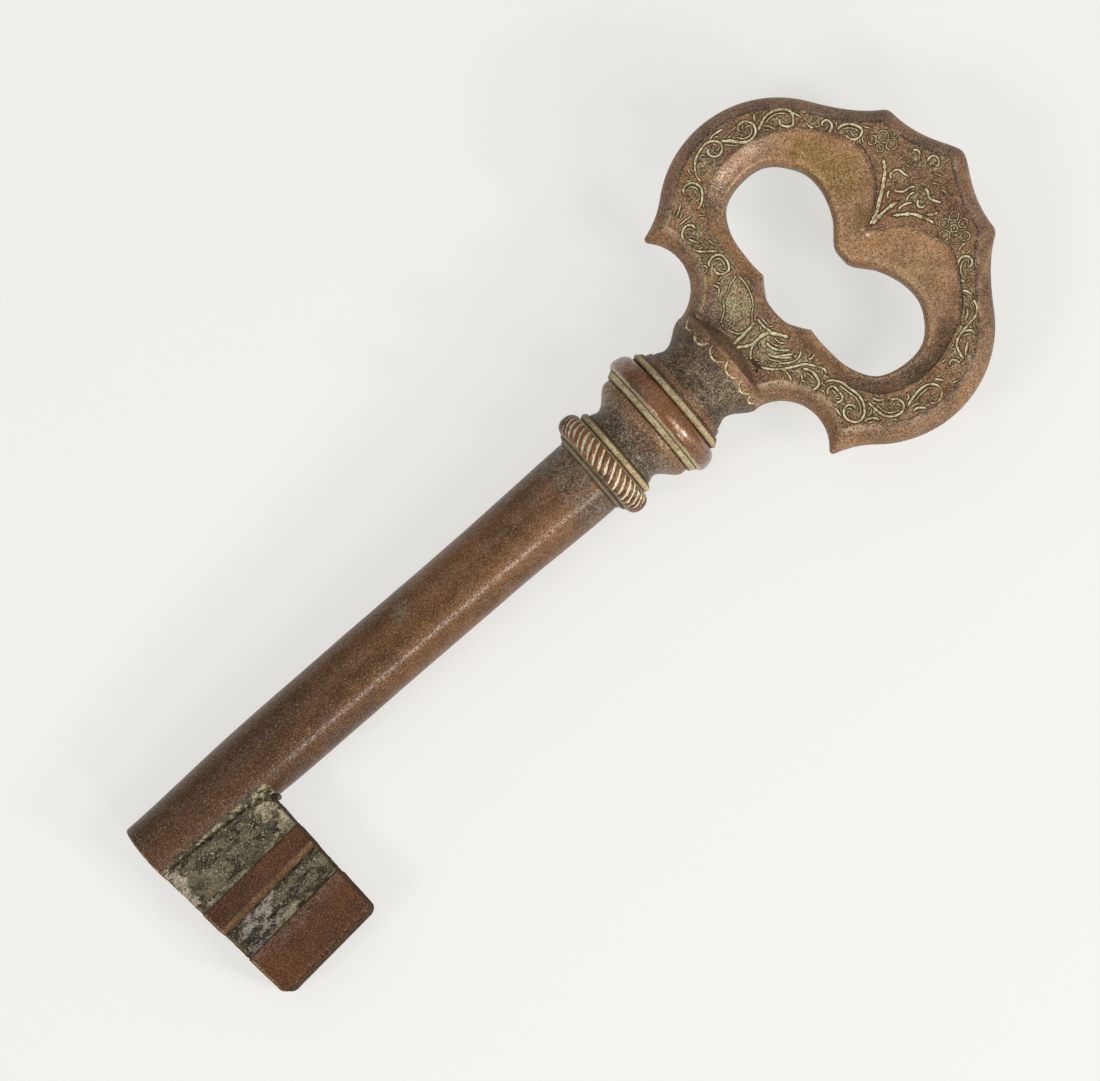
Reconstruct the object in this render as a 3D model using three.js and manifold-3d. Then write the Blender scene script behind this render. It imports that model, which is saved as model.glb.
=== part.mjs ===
// Decorative skeleton key, in millimetres. The shank lies along X with its bit end at -X, the bow is
// flat in the XY plane, the bit points to -Y, and the origin is the middle of the key on the shank's axis.
// Pieces are laid out by station, the distance along X from the bit end of the shank.
import * as THREE from "three";
import { mergeVertices } from "three/addons/utils/BufferGeometryUtils.js";
import Module from "manifold-3d";

const wasm = await Module();
wasm.setup();

// Clearance between neighbouring pieces, and how far a cutter runs past what it cuts
const fit = 0.3;
const overrun = 1;

// Shank: a round bar that tapers to the bit end and swells to the collar
const shankLength = 141.2;
const shankEndRadius = 8.5;
const shankRadius = 9.7;
const shankCollarRadius = 10.3;
const shankTaperLength = 44;
const shankSwellLength = 34;
const shankEndRound = 0.9;
const boreRadius = 4.2;
const boreDepth = 30;
const borePoint = 1.4;
const boreWall = 1.2;
const tangRadius = 5.5;
const tangGrip = 10;
const tangChamfer = 0.8;

// Collar: rings threaded on the tang, in order from the shank
const lipLength = 1.2;
const lipRadius = 11.9;
const ropeLength = 5.7;
const ropeRadius = 14.6;
const ropeBackRadius = 12.3;
const ropeFrontRadius = 12.6;
const ropeFluteDepth = 0.55;
const ropeFluteCount = 42;
const ropeFluteSlant = 33;
const footLength = 1.9;
const footRadius = 12.2;
const footBackRadius = 11.6;
const footFrontRadius = 11.3;
const spoolLength = 9;
const spoolEdgeRadius = 10.9;
const spoolWaist = 1.9;
const spoolWaistRadius = 10.3;
const spoolRimRadius = 14.4;
const spoolRimLength = 1.1;
const seatLength = 1.6;
const seatBackRadius = 14.9;
const seatFrontRadius = 16;
const torusLength = 5.5;
const torusRadius = 17.15;
const torusBackRadius = 16.2;
const torusFrontRadius = 14.5;
const torusTop = 1.6;
const neckRingLength = 2.3;
const neckRingRadius = 15;
const neckRingBackRadius = 14.3;
const neckRingFrontRadius = 13.7;
const neckRingKnife = 0.8;

// Neck of the bow, by distance from its foot on the last ring
const neckFootRadius = 13.1;
const neckFootLength = 1.5;
const neckStep = 0.6;
const neckWaist = 4.6;
const neckWaistRadius = 10.9;
const neckMouth = 12;
const neckMouthRadius = 14.4;
const neckRidge = 14.4;
const neckRidgeRadius = 14.5;
const neckShoulder = 19;
const neckShoulderRadius = 5;

// Bow: its outline at mid thickness, with scallops beside the neck, cusps, shoulders and a crown tip
const bowLength = 90.7;
const bowThickness = 13;
const bowHalfWidth = 47.1;
const bowRoundRadius = 28.8;
const bowCrownToWidest = 43.9;
const scallopCentre = 10.2;
const scallopRadius = 11.5;
const scallopSideRadius = 14.2;
const shoulderBack = 6.6;
const shoulderHalfSpan = 20;
const flankWidth = 4;
const scallopStartAngle = -85;
const cuspAngle = 52;
const roundStartAngle = 131;
const roundEndAngle = 33;
const cuspSweepShare = 0.5;
const shoulderSweepShare = 0.66;
const crownSweepShares = { back: 0.97, side: 0.42 };
const crownTipHalfWidth = 3.2;
const flankBellyShare = 0.52;

// Opening through the bow: half outline from the nose round the lobe to the tooth, then the notch.
// Shares are of its length, from the crown side, and of its half width.
const openingFromCrown = 32;
const openingLength = 28.1;
const openingHalfWidth = 30;
const openingLobeShares = [
  [0.256, 0], [0.238, 0.105], [0.09, 0.285], [0.004, 0.51], [0.022, 0.735], [0.2, 0.95],
  [0.44, 1], [0.7, 0.93], [0.838, 0.72], [0.872, 0.46], [0.865, 0.297],
];
const openingNotchShares = [[0.865, 0.297], [0.935, 0.205], [0.986, 0.115], [1, 0]];
const wallHeight = 2.4;
const lipWidthCrown = 2.1;
const lipWidthNeck = 0.45;

// Dish sunk round the opening on both faces, meeting in a crest behind the nose
const dishFromCrown = 18.2;
const dishLength = 42.8;
const dishHalfWidth = 35.7;
const dishDepth = 2.7;
const dishStep = 0.3;
const dishLobeShares = [
  [0.284, 0], [0.2, 0.067], [0.086, 0.175], [0.002, 0.38], [0.019, 0.546], [0.182, 0.829],
  [0.42, 0.972], [0.603, 1], [0.8, 0.94], [0.93, 0.77], [0.97, 0.532], [0.977, 0.238],
];
const dishNotchShares = [[0.977, 0.238], [0.984, 0.16], [0.994, 0.08], [1, 0]];

// Bit: a blade with a raised bar and an end block, set back a little from the end of the shank.
// Reaches are from the shank's axis at the bit's own end, and each line across the blade leans
// towards the axis by its own few degrees.
const bitSetback = 0.6;
const bitLength = 32.1;
const bitReach = 48.2;
const bitThickness = 12.4;
const bitEndLean = 6;
const bitHeelLean = 2;
const bitFarLean = 4.4;
const bitCornerRound = 1.2;
const barNearReach = 20.4;
const barNearLean = 3.3;
const barFarReach = 26;
const barFarLean = 4.2;
const blockReach = 36;
const blockLean = 4.8;
const rootWardDepth = 1.3;
const farWardDepth = 1.8;
const farWardSlope = 1.5;
const tenonThickness = 5;
const tenonSetback = 3;

// Filler metal round the joint of bit and shank
const brazeRadius = 0.5;
const brazeInset = 0.8;
const heelBeadRadius = 0.9;
const heelBeadLength = 2.6;
const heelBeadHeight = 3.4;

// How finely curves are cut
const ringSteps = 36;
const ropeSteps = 4 * ropeFluteCount;
const shankSteps = 40;
const boreSteps = 24;
const beadSteps = 10;
const scallopSteps = 10;
const roundSteps = 24;
const crownSteps = 8;
const lobeSteps = 26;
const notchSteps = 5;
const flankLayers = 4;
const dishLayers = 4;
const lipLayers = 3;
const coveSteps = 7;
const torusSteps = 6;
const cornerSteps = 3;

// Stations worked out from the lengths above
const collar = {};
let stackEnd = shankLength + fit;
for (const [name, length] of Object.entries({
  lip: lipLength,
  rope: ropeLength,
  foot: footLength,
  spool: spoolLength,
  seat: seatLength,
  torus: torusLength,
  neckRing: neckRingLength,
})) {
  collar[name] = { start: stackEnd, end: stackEnd + length };
  stackEnd += length + fit;
}
const neckFoot = stackEnd;
const tangEnd = neckFoot + tangGrip;
const keyLength = neckFoot + bowLength;
const ringBore = tangRadius + fit;

const radians = THREE.MathUtils.degToRad;
const { smoothstep, lerp } = THREE.MathUtils;

function metal(color, roughness, metalness) {
  return new THREE.MeshStandardMaterial({ color, roughness, metalness });
}
const castBronze = () => metal(0x7a5638, 0.5, 0.75);
const turnedBronze = () => metal(0x6b4630, 0.45, 0.8);
const darkBronze = () => metal(0x4f4234, 0.6, 0.6);
const paleBronze = () => metal(0xa89a72, 0.75, 0.4);
const redBronze = () => metal(0x5d3420, 0.5, 0.75);
const fillerMetal = () => metal(0x8f8660, 0.8, 0.4);

// A closed mesh as a solid that can be joined and cut
function toSolid(geometry) {
  const bare = geometry.clone();
  bare.deleteAttribute("normal");
  bare.deleteAttribute("uv");
  const welded = mergeVertices(bare);
  return new wasm.Manifold(new wasm.Mesh({
    numProp: 3,
    vertProperties: new Float32Array(welded.attributes.position.array),
    triVerts: new Uint32Array(welded.index.array),
  }));
}

function toGeometry(solid) {
  const mesh = solid.getMesh();
  const geometry = new THREE.BufferGeometry();
  geometry.setAttribute("position", new THREE.BufferAttribute(new Float32Array(mesh.vertProperties), 3));
  geometry.setIndex(new THREE.BufferAttribute(new Uint32Array(mesh.triVerts), 1));
  geometry.computeVertexNormals();
  return geometry;
}

// Turned pieces: a profile of stations and radii, swept round the shank's axis
const at = (station, radius) => new THREE.Vector2(radius, station);

function turned(profile, steps) {
  return new THREE.LatheGeometry(profile, steps).rotateZ(-Math.PI / 2);
}

function ring(outside, steps = ringSteps) {
  const back = at(outside[0].y, ringBore);
  const front = at(outside[outside.length - 1].y, ringBore);
  return turned([back, ...outside, front, back], steps);
}

// A profile that runs from one radius to another with both ends level
function cove(start, end, startRadius, endRadius, steps) {
  return Array.from({ length: steps + 1 }, (_, i) => {
    const station = lerp(start, end, i / steps);
    return at(station, lerp(startRadius, endRadius, (1 - Math.cos((Math.PI * i) / steps)) / 2));
  });
}

// A rounded profile that rises from one edge to its top and falls to the other edge
function crest(start, top, end, startRadius, topRadius, endRadius, steps) {
  const rise = Array.from({ length: steps }, (_, i) => {
    const angle = (Math.PI / 2) * (i / steps);
    return at(lerp(start, top, 1 - Math.cos(angle)), lerp(startRadius, topRadius, Math.sin(angle)));
  });
  const fall = Array.from({ length: steps + 1 }, (_, i) => {
    const angle = (Math.PI / 2) * (i / steps);
    return at(lerp(top, end, Math.sin(angle)), lerp(endRadius, topRadius, Math.cos(angle)));
  });
  return [...rise, ...fall];
}

function lipRing() {
  const { start, end } = collar.lip;
  return ring(cove(start, end, shankCollarRadius, lipRadius, cornerSteps));
}

// Gadroons slant round the ring and fade out at its two edges.
function ropeRing() {
  const { start, end } = collar.rope;
  const middle = (start + end) / 2;
  const geometry = ring(
    crest(start, middle, end, ropeBackRadius, ropeRadius, ropeFrontRadius, cornerSteps + 1), ropeSteps);
  const twist = Math.tan(radians(ropeFluteSlant)) / ropeRadius;
  const place = geometry.attributes.position;
  for (let i = 0; i < place.count; i += 1) {
    const along = (place.getX(i) - start) / ropeLength;
    const radius = Math.hypot(place.getY(i), place.getZ(i));
    const angle = Math.atan2(place.getY(i), place.getZ(i)) - twist * (place.getX(i) - middle);
    const fade = Math.sin(Math.PI * THREE.MathUtils.clamp(along, 0, 1));
    const relief = ropeFluteDepth * fade * (Math.abs(Math.cos((ropeFluteCount * angle) / 2)) - 1);
    const scale = (radius + relief) / radius;
    place.setY(i, place.getY(i) * scale);
    place.setZ(i, place.getZ(i) * scale);
  }
  return geometry;
}

function spoolFootRing() {
  const { start, end } = collar.foot;
  return ring(crest(start, (start + end) / 2, end, footBackRadius, footRadius, footFrontRadius, cornerSteps));
}

function collarSpool() {
  const { start, end } = collar.spool;
  const waist = start + spoolWaist;
  const rim = end - spoolRimLength;
  return ring([
    ...cove(start, waist, spoolEdgeRadius, spoolWaistRadius, cornerSteps),
    ...cove(waist, rim, spoolWaistRadius, spoolRimRadius, coveSteps).slice(1),
    at(end, spoolRimRadius),
  ]);
}

function torusSeatRing() {
  const { start, end } = collar.seat;
  return ring([at(start, seatBackRadius), at(end, seatFrontRadius)]);
}

function torusRing() {
  const { start, end } = collar.torus;
  const top = start + torusTop;
  return ring(crest(start, top, end, torusBackRadius, torusRadius, torusFrontRadius, torusSteps));
}

function neckRing() {
  const { start, end } = collar.neckRing;
  return ring([
    at(start, neckRingBackRadius), at(start + neckRingKnife, neckRingRadius), at(end, neckRingFrontRadius),
  ]);
}

// Outside radius of the shank at a station, and its profile
function shankRadiusAt(station) {
  const taper = smoothstep(station, 0, shankTaperLength);
  const swell = smoothstep(station, shankLength - shankSwellLength, shankLength);
  return shankEndRadius + (shankRadius - shankEndRadius) * taper + (shankCollarRadius - shankRadius) * swell;
}

function shankSide(start, end, clearance) {
  return Array.from({ length: coveSteps + 1 }, (_, i) => {
    const station = lerp(start, end, i / coveSteps);
    return at(station, shankRadiusAt(station) + clearance);
  });
}

function shank() {
  const endRound = Array.from({ length: cornerSteps }, (_, i) => {
    const angle = (Math.PI / 2) * (i / cornerSteps);
    return at(
      shankEndRound * (1 - Math.cos(angle)),
      shankRadiusAt(shankEndRound) - shankEndRound * (1 - Math.sin(angle)));
  });
  const bar = toSolid(turned([
    at(boreDepth + borePoint, 0),
    at(boreDepth, boreRadius),
    at(0, boreRadius),
    ...endRound,
    ...shankSide(shankEndRound, shankTaperLength, 0),
    ...shankSide(shankLength - shankSwellLength, shankLength, 0),
    at(shankLength, tangRadius),
    at(tangEnd - tangChamfer, tangRadius),
    at(tangEnd, tangRadius - tangChamfer),
    at(tangEnd, 0),
  ], shankSteps));
  return toGeometry(bar.subtract(toSolid(tenonBlock(fit).translate(bitSetback, 0, 0))));
}

// The tenon's block by distance from the bit's own end, or with a clearance the slot that takes it:
// it stops short of the bore's wall.
function tenonBlock(clearance) {
  const top = boreRadius + boreWall + fit - clearance;
  const bottom = shankRadius + overrun;
  const length = bitLength - 2 * (tenonSetback - clearance);
  const block = new THREE.BoxGeometry(length, bottom - top, tenonThickness + 2 * clearance);
  return block.translate(bitLength / 2, -(top + bottom) / 2, 0);
}

// A closed solid through outlines with equal numbers of points, listed from the lowest up
function loft(outlines, heights) {
  const count = outlines[0].length;
  const last = (outlines.length - 1) * count;
  const positions = outlines.flatMap((outline, level) => outline.flatMap((p) => [p.x, p.y, heights[level]]));
  const index = [];
  for (let level = 0; level < last; level += count) {
    for (let i = 0; i < count; i += 1) {
      const a = level + i;
      const b = level + ((i + 1) % count);
      index.push(a, b, b + count, a, b + count, a + count);
    }
  }
  for (const [a, b, c] of THREE.ShapeUtils.triangulateShape(outlines[0], [])) {
    index.push(c, b, a);
  }
  for (const [a, b, c] of THREE.ShapeUtils.triangulateShape(outlines[outlines.length - 1], [])) {
    index.push(last + a, last + b, last + c);
  }
  const geometry = new THREE.BufferGeometry();
  geometry.setAttribute("position", new THREE.Float32BufferAttribute(positions, 3));
  geometry.setIndex(index);
  return geometry;
}

// Plan points of the bow, by distance back from the crown tip and out from the axis
const plan = (back, side) => new THREE.Vector2(keyLength - back, side);

function arcRun(centre, radius, startAngle, endAngle, steps) {
  return Array.from({ length: steps + 1 }, (_, i) => {
    const angle = radians(lerp(startAngle, endAngle, i / steps));
    return new THREE.Vector2(centre.x + radius * Math.cos(angle), centre.y + radius * Math.sin(angle));
  });
}

function evenly(points, steps) {
  const path = new THREE.CurvePath();
  for (let i = 1; i < points.length; i += 1) {
    path.add(new THREE.LineCurve(points[i - 1], points[i]));
  }
  return path.getSpacedPoints(steps);
}

// A run moved to its right-hand side, into the metal, by a distance worked out at each point
function movedIn(run, distanceAt) {
  return run.map((point, i) => {
    const before = run[Math.max(i - 1, 0)];
    const after = run[Math.min(i + 1, run.length - 1)];
    const along = after.clone().sub(before).normalize();
    const distance = distanceAt(point);
    return new THREE.Vector2(point.x + along.y * distance, point.y - along.x * distance);
  });
}

// Two runs cut back to the point where the first of them meets the next
function mitred(first, second) {
  for (let i = 1; i < first.length; i += 1) {
    for (let j = 1; j < second.length; j += 1) {
      const along = first[i].clone().sub(first[i - 1]);
      const across = second[j].clone().sub(second[j - 1]);
      const gap = second[j - 1].clone().sub(first[i - 1]);
      const turn = along.cross(across);
      const share = gap.cross(across) / turn;
      const otherShare = gap.cross(along) / turn;
      if (share >= 0 && share <= 1 && otherShare >= 0 && otherShare <= 1) {
        const corner = first[i - 1].clone().addScaledVector(along, share);
        return [[...first.slice(0, i), corner], [corner, ...second.slice(j)]];
      }
    }
  }
  return [first, second];
}

// A half outline with its mirror image. A start or end on the axis is not doubled.
function wholeOutline(half, startsOnAxis) {
  const pinned = half.map((p) => p.clone());
  pinned[pinned.length - 1].y = 0;
  if (startsOnAxis) {
    pinned[0].y = 0;
  }
  const mirror = pinned.slice(startsOnAxis ? 1 : 0, -1).map((p) => new THREE.Vector2(p.x, -p.y));
  return [...pinned, ...mirror.reverse()];
}

// Half outline of the bow from the neck to the crown tip, moved in from the mid-thickness edge
function bowHalf(inset) {
  const scallop = new THREE.Vector2(neckFoot + scallopCentre, scallopSideRadius + scallopRadius);
  const side = arcRun(scallop, scallopRadius, scallopStartAngle, cuspAngle, 2 * scallopSteps);
  const arc = arcRun(
    plan(bowCrownToWidest, bowHalfWidth - bowRoundRadius),
    bowRoundRadius, roundStartAngle, roundEndAngle, 2 * roundSteps);
  const cusp = side[side.length - 1];
  const shoulder = plan(shoulderBack, shoulderHalfSpan);
  const [arcStart, arcEnd] = [arc[0], arc[arc.length - 1]];
  const heading = (angle) => new THREE.Vector2(Math.sin(radians(angle)), -Math.cos(radians(angle)));
  const cuspReach = cuspSweepShare * cusp.distanceTo(arcStart);
  const shoulderReach = shoulderSweepShare * shoulder.distanceTo(arcEnd);
  const cuspControl = arcStart.clone().addScaledVector(heading(roundStartAngle), -cuspReach);
  const shoulderControl = arcEnd.clone().addScaledVector(heading(roundEndAngle), shoulderReach);
  const crownControl = plan(
    shoulderBack * crownSweepShares.back, shoulderHalfSpan * crownSweepShares.side);
  const outer = [
    ...new THREE.QuadraticBezierCurve(cusp, cuspControl, arcStart).getPoints(crownSteps),
    ...arc.slice(1, -1),
    ...new THREE.QuadraticBezierCurve(arcEnd, shoulderControl, shoulder).getPoints(crownSteps),
  ];
  const crown = new THREE.CubicBezierCurve(
    shoulder, crownControl, plan(0, crownTipHalfWidth), plan(0, 0)).getPoints(2 * crownSteps);
  let runs = [side, outer, crown];
  if (inset > 0) {
    const [sideIn, outerIn, crownIn] = runs.map((run) => movedIn(run, () => inset));
    const [sideCut, outerStart] = mitred(sideIn, outerIn);
    const [outerCut, crownStart] = mitred(outerStart, crownIn);
    const [crownCut] = mitred(crownStart, [plan(-overrun, 0), plan(bowLength, 0)]);
    runs = [sideCut, outerCut, crownCut];
  }
  const steps = [scallopSteps, roundSteps, crownSteps];
  return runs.flatMap((run, i) => evenly(run, steps[i]).slice(i > 0 ? 1 : 0));
}

// The plate: its flank bellies out from the flat band to the edge at mid thickness.
function bowPlate() {
  const half = bowThickness / 2;
  const belly = new THREE.Vector2(0, half * flankBellyShare);
  const section = new THREE.QuadraticBezierCurve(
    new THREE.Vector2(0, 0), belly, new THREE.Vector2(flankWidth, half));
  const upper = section.getPoints(flankLayers);
  const lower = upper.slice(1).map((p) => new THREE.Vector2(p.x, -p.y)).reverse();
  const layers = [...lower, ...upper];
  return loft(layers.map((p) => wholeOutline(bowHalf(p.x), false).reverse()), layers.map((p) => p.y));
}

// Two runs of a half outline from shares of a length, back from the crown side, and of a half width
function shareRuns(tables, fromCrown, length, halfWidth) {
  return tables.map((shares) => {
    const points = shares.map(([back, side]) => plan(fromCrown + length * back, halfWidth * side));
    return new THREE.SplineCurve(points).getPoints(4 * lobeSteps);
  });
}

function ringOfRuns([lobe, notch]) {
  return [...evenly(lobe, lobeSteps), ...evenly(notch, notchSteps).slice(1)];
}

function between(outline, other, share) {
  return outline.map((p, i) => p.clone().lerp(other[i], share));
}

// What the dishes and the opening take out of the bow: the dish falls steeply from its edge and
// flattens, then the lip rolls over into the short wall at mid thickness.
function bowHollow() {
  const half = bowThickness / 2;
  const openingRuns = shareRuns(
    [openingLobeShares, openingNotchShares], openingFromCrown, openingLength, openingHalfWidth);
  const lipWidthAt = (point) => lerp(
    lipWidthCrown, lipWidthNeck, (keyLength - openingFromCrown - point.x) / openingLength);
  const lipRuns = mitred(...openingRuns.map((run) => movedIn(run, lipWidthAt)));
  const dishRuns = shareRuns([dishLobeShares, dishNotchShares], dishFromCrown, dishLength, dishHalfWidth);
  const [opening, lip, dish] = [openingRuns, lipRuns, dishRuns].map(ringOfRuns);
  const dishTop = half - dishStep;
  const dishFloor = half - dishDepth;
  const layers = [{ half: dish, height: half + overrun }];
  for (let i = 0; i <= dishLayers; i += 1) {
    const share = i / dishLayers;
    const fallen = Math.sin((Math.PI / 2) * share);
    layers.push({ half: between(dish, lip, share), height: lerp(dishTop, dishFloor, fallen) });
  }
  for (let i = 1; i <= lipLayers; i += 1) {
    const angle = (Math.PI / 2) * (i / lipLayers);
    const height = lerp(wallHeight / 2, dishFloor, Math.cos(angle));
    layers.push({ half: between(lip, opening, Math.sin(angle)), height });
  }
  const upper = layers.reverse();
  const lower = upper.map((layer) => ({ half: layer.half, height: -layer.height })).reverse();
  const all = [...lower, ...upper];
  return loft(all.map((layer) => wholeOutline(layer.half, true)), all.map((layer) => layer.height));
}

function bowNeck() {
  const foot = neckFoot;
  const footEnd = foot + neckFootLength;
  const waist = foot + neckWaist;
  return turned([
    at(foot, 0),
    at(foot, neckFootRadius),
    at(footEnd, neckFootRadius - neckStep),
    ...cove(footEnd, waist, neckFootRadius - 2 * neckStep, neckWaistRadius, cornerSteps),
    ...cove(waist, foot + neckMouth, neckWaistRadius, neckMouthRadius, coveSteps).slice(1),
    at(foot + neckRidge, neckRidgeRadius),
    at(foot + neckShoulder, neckShoulderRadius),
    at(foot + neckShoulder, 0),
  ], shankSteps);
}

function bow() {
  const depth = tangGrip + fit + overrun;
  const socket = new THREE.CylinderGeometry(ringBore, ringBore, depth, boreSteps)
    .rotateZ(Math.PI / 2)
    .translate(neckFoot - overrun + depth / 2, 0, 0);
  return toGeometry(
    toSolid(bowPlate()).subtract(toSolid(bowHollow())).add(toSolid(bowNeck())).subtract(toSolid(socket)));
}

// How far a line across the blade lies from the axis, by distance from the bit's own end
const acrossAt = (along, reach, lean) => reach - along * Math.tan(radians(lean));

function bladeOutline() {
  const farCorner = (along, lean) => {
    const end = along + Math.tan(radians(lean)) * (bitReach - shankEndRadius);
    return new THREE.Vector2(end, -acrossAt(end, bitReach, bitFarLean));
  };
  const roundFrom = (corner, other) =>
    other.clone().sub(corner).setLength(bitCornerRound).add(corner);
  const [root, heelRoot] = [0, bitLength].map((along) => new THREE.Vector2(along, -shankEndRadius));
  const [toe, heel] = [farCorner(0, bitEndLean), farCorner(bitLength, bitHeelLean)];
  const outline = new THREE.Shape();
  outline.moveTo(0, 0);
  outline.lineTo(root.x, root.y);
  for (const [before, corner, after] of [[root, toe, heel], [toe, heel, heelRoot]]) {
    const [start, end] = [roundFrom(corner, before), roundFrom(corner, after)];
    outline.lineTo(start.x, start.y);
    outline.quadraticCurveTo(corner.x, corner.y, end.x, end.y);
  }
  outline.lineTo(heelRoot.x, heelRoot.y);
  outline.lineTo(bitLength, 0);
  return outline;
}

// A ward sunk in one face: its floor runs between two leaning lines, and a slope widens it upwards.
function ward(near, nearLean, far, farLean, depth, slope) {
  const right = bitLength + bitReach * Math.tan(radians(bitHeelLean)) + overrun;
  const outlineWith = (shift) => [
    new THREE.Vector2(-overrun, -acrossAt(-overrun, far, farLean)),
    new THREE.Vector2(right, -acrossAt(right, far, farLean)),
    new THREE.Vector2(right, -acrossAt(right, near, nearLean) - shift),
    new THREE.Vector2(-overrun, -acrossAt(-overrun, near, nearLean) - shift),
  ];
  const top = bitThickness / 2;
  const above = slope * (overrun / depth);
  return loft([outlineWith(slope), outlineWith(-above)], [top - depth, top + overrun]);
}

function bit() {
  const plate = new THREE.ExtrudeGeometry(bladeOutline(), {
    depth: bitThickness, bevelEnabled: false, curveSegments: cornerSteps,
  }).translate(0, 0, -bitThickness / 2);
  const saddle = turned([
    at(-overrun, 0),
    at(-overrun, shankRadiusAt(0) + fit),
    ...shankSide(0, shankTaperLength, fit),
    at(shankTaperLength, 0),
  ], shankSteps).translate(-bitSetback, 0, 0);
  let blade = toSolid(plate).subtract(toSolid(saddle));
  for (const cutter of [
    ward(0, 0, barNearReach, barNearLean, rootWardDepth, 0),
    ward(barFarReach, barFarLean, blockReach, blockLean, farWardDepth, farWardSlope),
  ]) {
    const front = toSolid(cutter);
    blade = blade.subtract(front).subtract(front.rotate([180, 0, 0]).mirror([0, 1, 0]));
  }
  return toGeometry(blade.add(toSolid(tenonBlock(0)))).translate(bitSetback, 0, 0);
}

// A rod of filler metal in the corner between the shank and the floor of the root ward
function brazeSeam(face) {
  const height = bitThickness / 2 - rootWardDepth + fit + brazeRadius;
  const endAt = (station) => {
    const away = shankRadiusAt(station) + fit + brazeRadius;
    return new THREE.Vector3(station, -Math.sqrt(away ** 2 - height ** 2), face * height);
  };
  const start = endAt(bitSetback + brazeInset);
  const end = endAt(bitSetback + bitLength - brazeInset);
  const along = end.clone().sub(start);
  const rodAxis = new THREE.Vector3(0, 1, 0);
  const turn = new THREE.Quaternion().setFromUnitVectors(rodAxis, along.clone().normalize());
  const middle = start.clone().add(end).divideScalar(2);
  return new THREE.CylinderGeometry(brazeRadius, brazeRadius, along.length(), beadSteps)
    .applyQuaternion(turn)
    .translate(middle.x, middle.y, middle.z);
}

// The blob of filler metal in the corner between the blade's heel and the underside of the shank
function brazeHeel() {
  const station = bitSetback + bitLength + fit + heelBeadRadius;
  const away = shankRadiusAt(station) + fit + heelBeadRadius;
  return new THREE.SphereGeometry(heelBeadRadius, 2 * beadSteps, beadSteps)
    .scale(1, 1, heelBeadLength / (2 * heelBeadRadius))
    .translate(station, -Math.sqrt(away ** 2 - heelBeadHeight ** 2), heelBeadHeight);
}

const key = new THREE.Group();
key.position.x = -keyLength / 2;

function piece(name, geometry, material) {
  const mesh = new THREE.Mesh(geometry, material);
  mesh.name = name;
  key.add(mesh);
}

piece("bow", bow(), castBronze());
piece("neck_ring", neckRing(), paleBronze());
piece("torus_ring", torusRing(), turnedBronze());
piece("torus_seat_ring", torusSeatRing(), paleBronze());
piece("collar_spool", collarSpool(), darkBronze());
piece("spool_foot_ring", spoolFootRing(), paleBronze());
piece("rope_ring", ropeRing(), castBronze());
piece("shank_lip_ring", lipRing(), paleBronze());
piece("shank", shank(), turnedBronze());
piece("bit", bit(), redBronze());
piece("bit_braze_front", brazeSeam(1), fillerMetal());
piece("bit_braze_back", brazeSeam(-1), fillerMetal());
piece("bit_braze_heel", brazeHeel(), fillerMetal());

export default key;
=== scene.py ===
import math

import bmesh
import bpy
from mathutils import Matrix, Vector, geometry, noise

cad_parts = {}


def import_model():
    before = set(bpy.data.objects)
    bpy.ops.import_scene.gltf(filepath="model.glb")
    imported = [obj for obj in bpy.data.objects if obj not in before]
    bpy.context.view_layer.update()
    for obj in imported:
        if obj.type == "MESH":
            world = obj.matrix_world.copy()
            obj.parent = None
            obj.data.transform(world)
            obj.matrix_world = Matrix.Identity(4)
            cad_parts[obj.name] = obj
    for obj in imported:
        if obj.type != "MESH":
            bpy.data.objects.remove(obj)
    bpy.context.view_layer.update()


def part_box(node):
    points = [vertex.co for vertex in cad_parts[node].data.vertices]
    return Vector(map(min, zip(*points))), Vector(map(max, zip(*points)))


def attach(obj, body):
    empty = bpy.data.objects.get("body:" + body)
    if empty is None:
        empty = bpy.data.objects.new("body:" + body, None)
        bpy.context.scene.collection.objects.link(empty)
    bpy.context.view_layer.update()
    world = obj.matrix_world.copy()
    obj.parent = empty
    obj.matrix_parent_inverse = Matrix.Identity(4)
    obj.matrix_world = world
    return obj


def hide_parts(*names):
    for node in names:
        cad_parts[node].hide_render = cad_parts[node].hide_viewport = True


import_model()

# Without a seed of its own, noise_vector starts from the time of day and no two runs are alike.
NOISE_SEED = 7
noise.seed_set(NOISE_SEED)

# Everything is shaped in millimetres and brought to metres when a piece is finished.
MM = 0.001
FULL_TURN = 2 * math.pi


def span(node):
    """The start and end of a node along the key, and how far it reaches from the axis."""
    low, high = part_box(node)
    return low.x / MM, high.x / MM, high.y / MM


bit_end, tang_end, _ = span("shank")
neck_foot, crown_tip, _ = span("bow")

# Clearance between pieces in the solid model, and how much of it each end of a ring closes here
FIT = 0.3
SNUG = 0.14

# Shank, as in the solid model, by distance from its bit end
SHANK_LENGTH = 141.2
SHANK_END_RADIUS, SHANK_RADIUS, SHANK_COLLAR_RADIUS = 8.5, 9.7, 10.3
SHANK_TAPER, SHANK_SWELL = 44, 34
SHANK_END_ROUND = 0.9
BORE_RADIUS, BORE_DEPTH, BORE_POINT, BORE_EDGE = 4.2, 30, 1.4, 0.25
TANG_RADIUS, TANG_CHAMFER, TANG_GRIP = 5.5, 0.8, 10
RING_BORE = TANG_RADIUS + FIT

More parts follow.
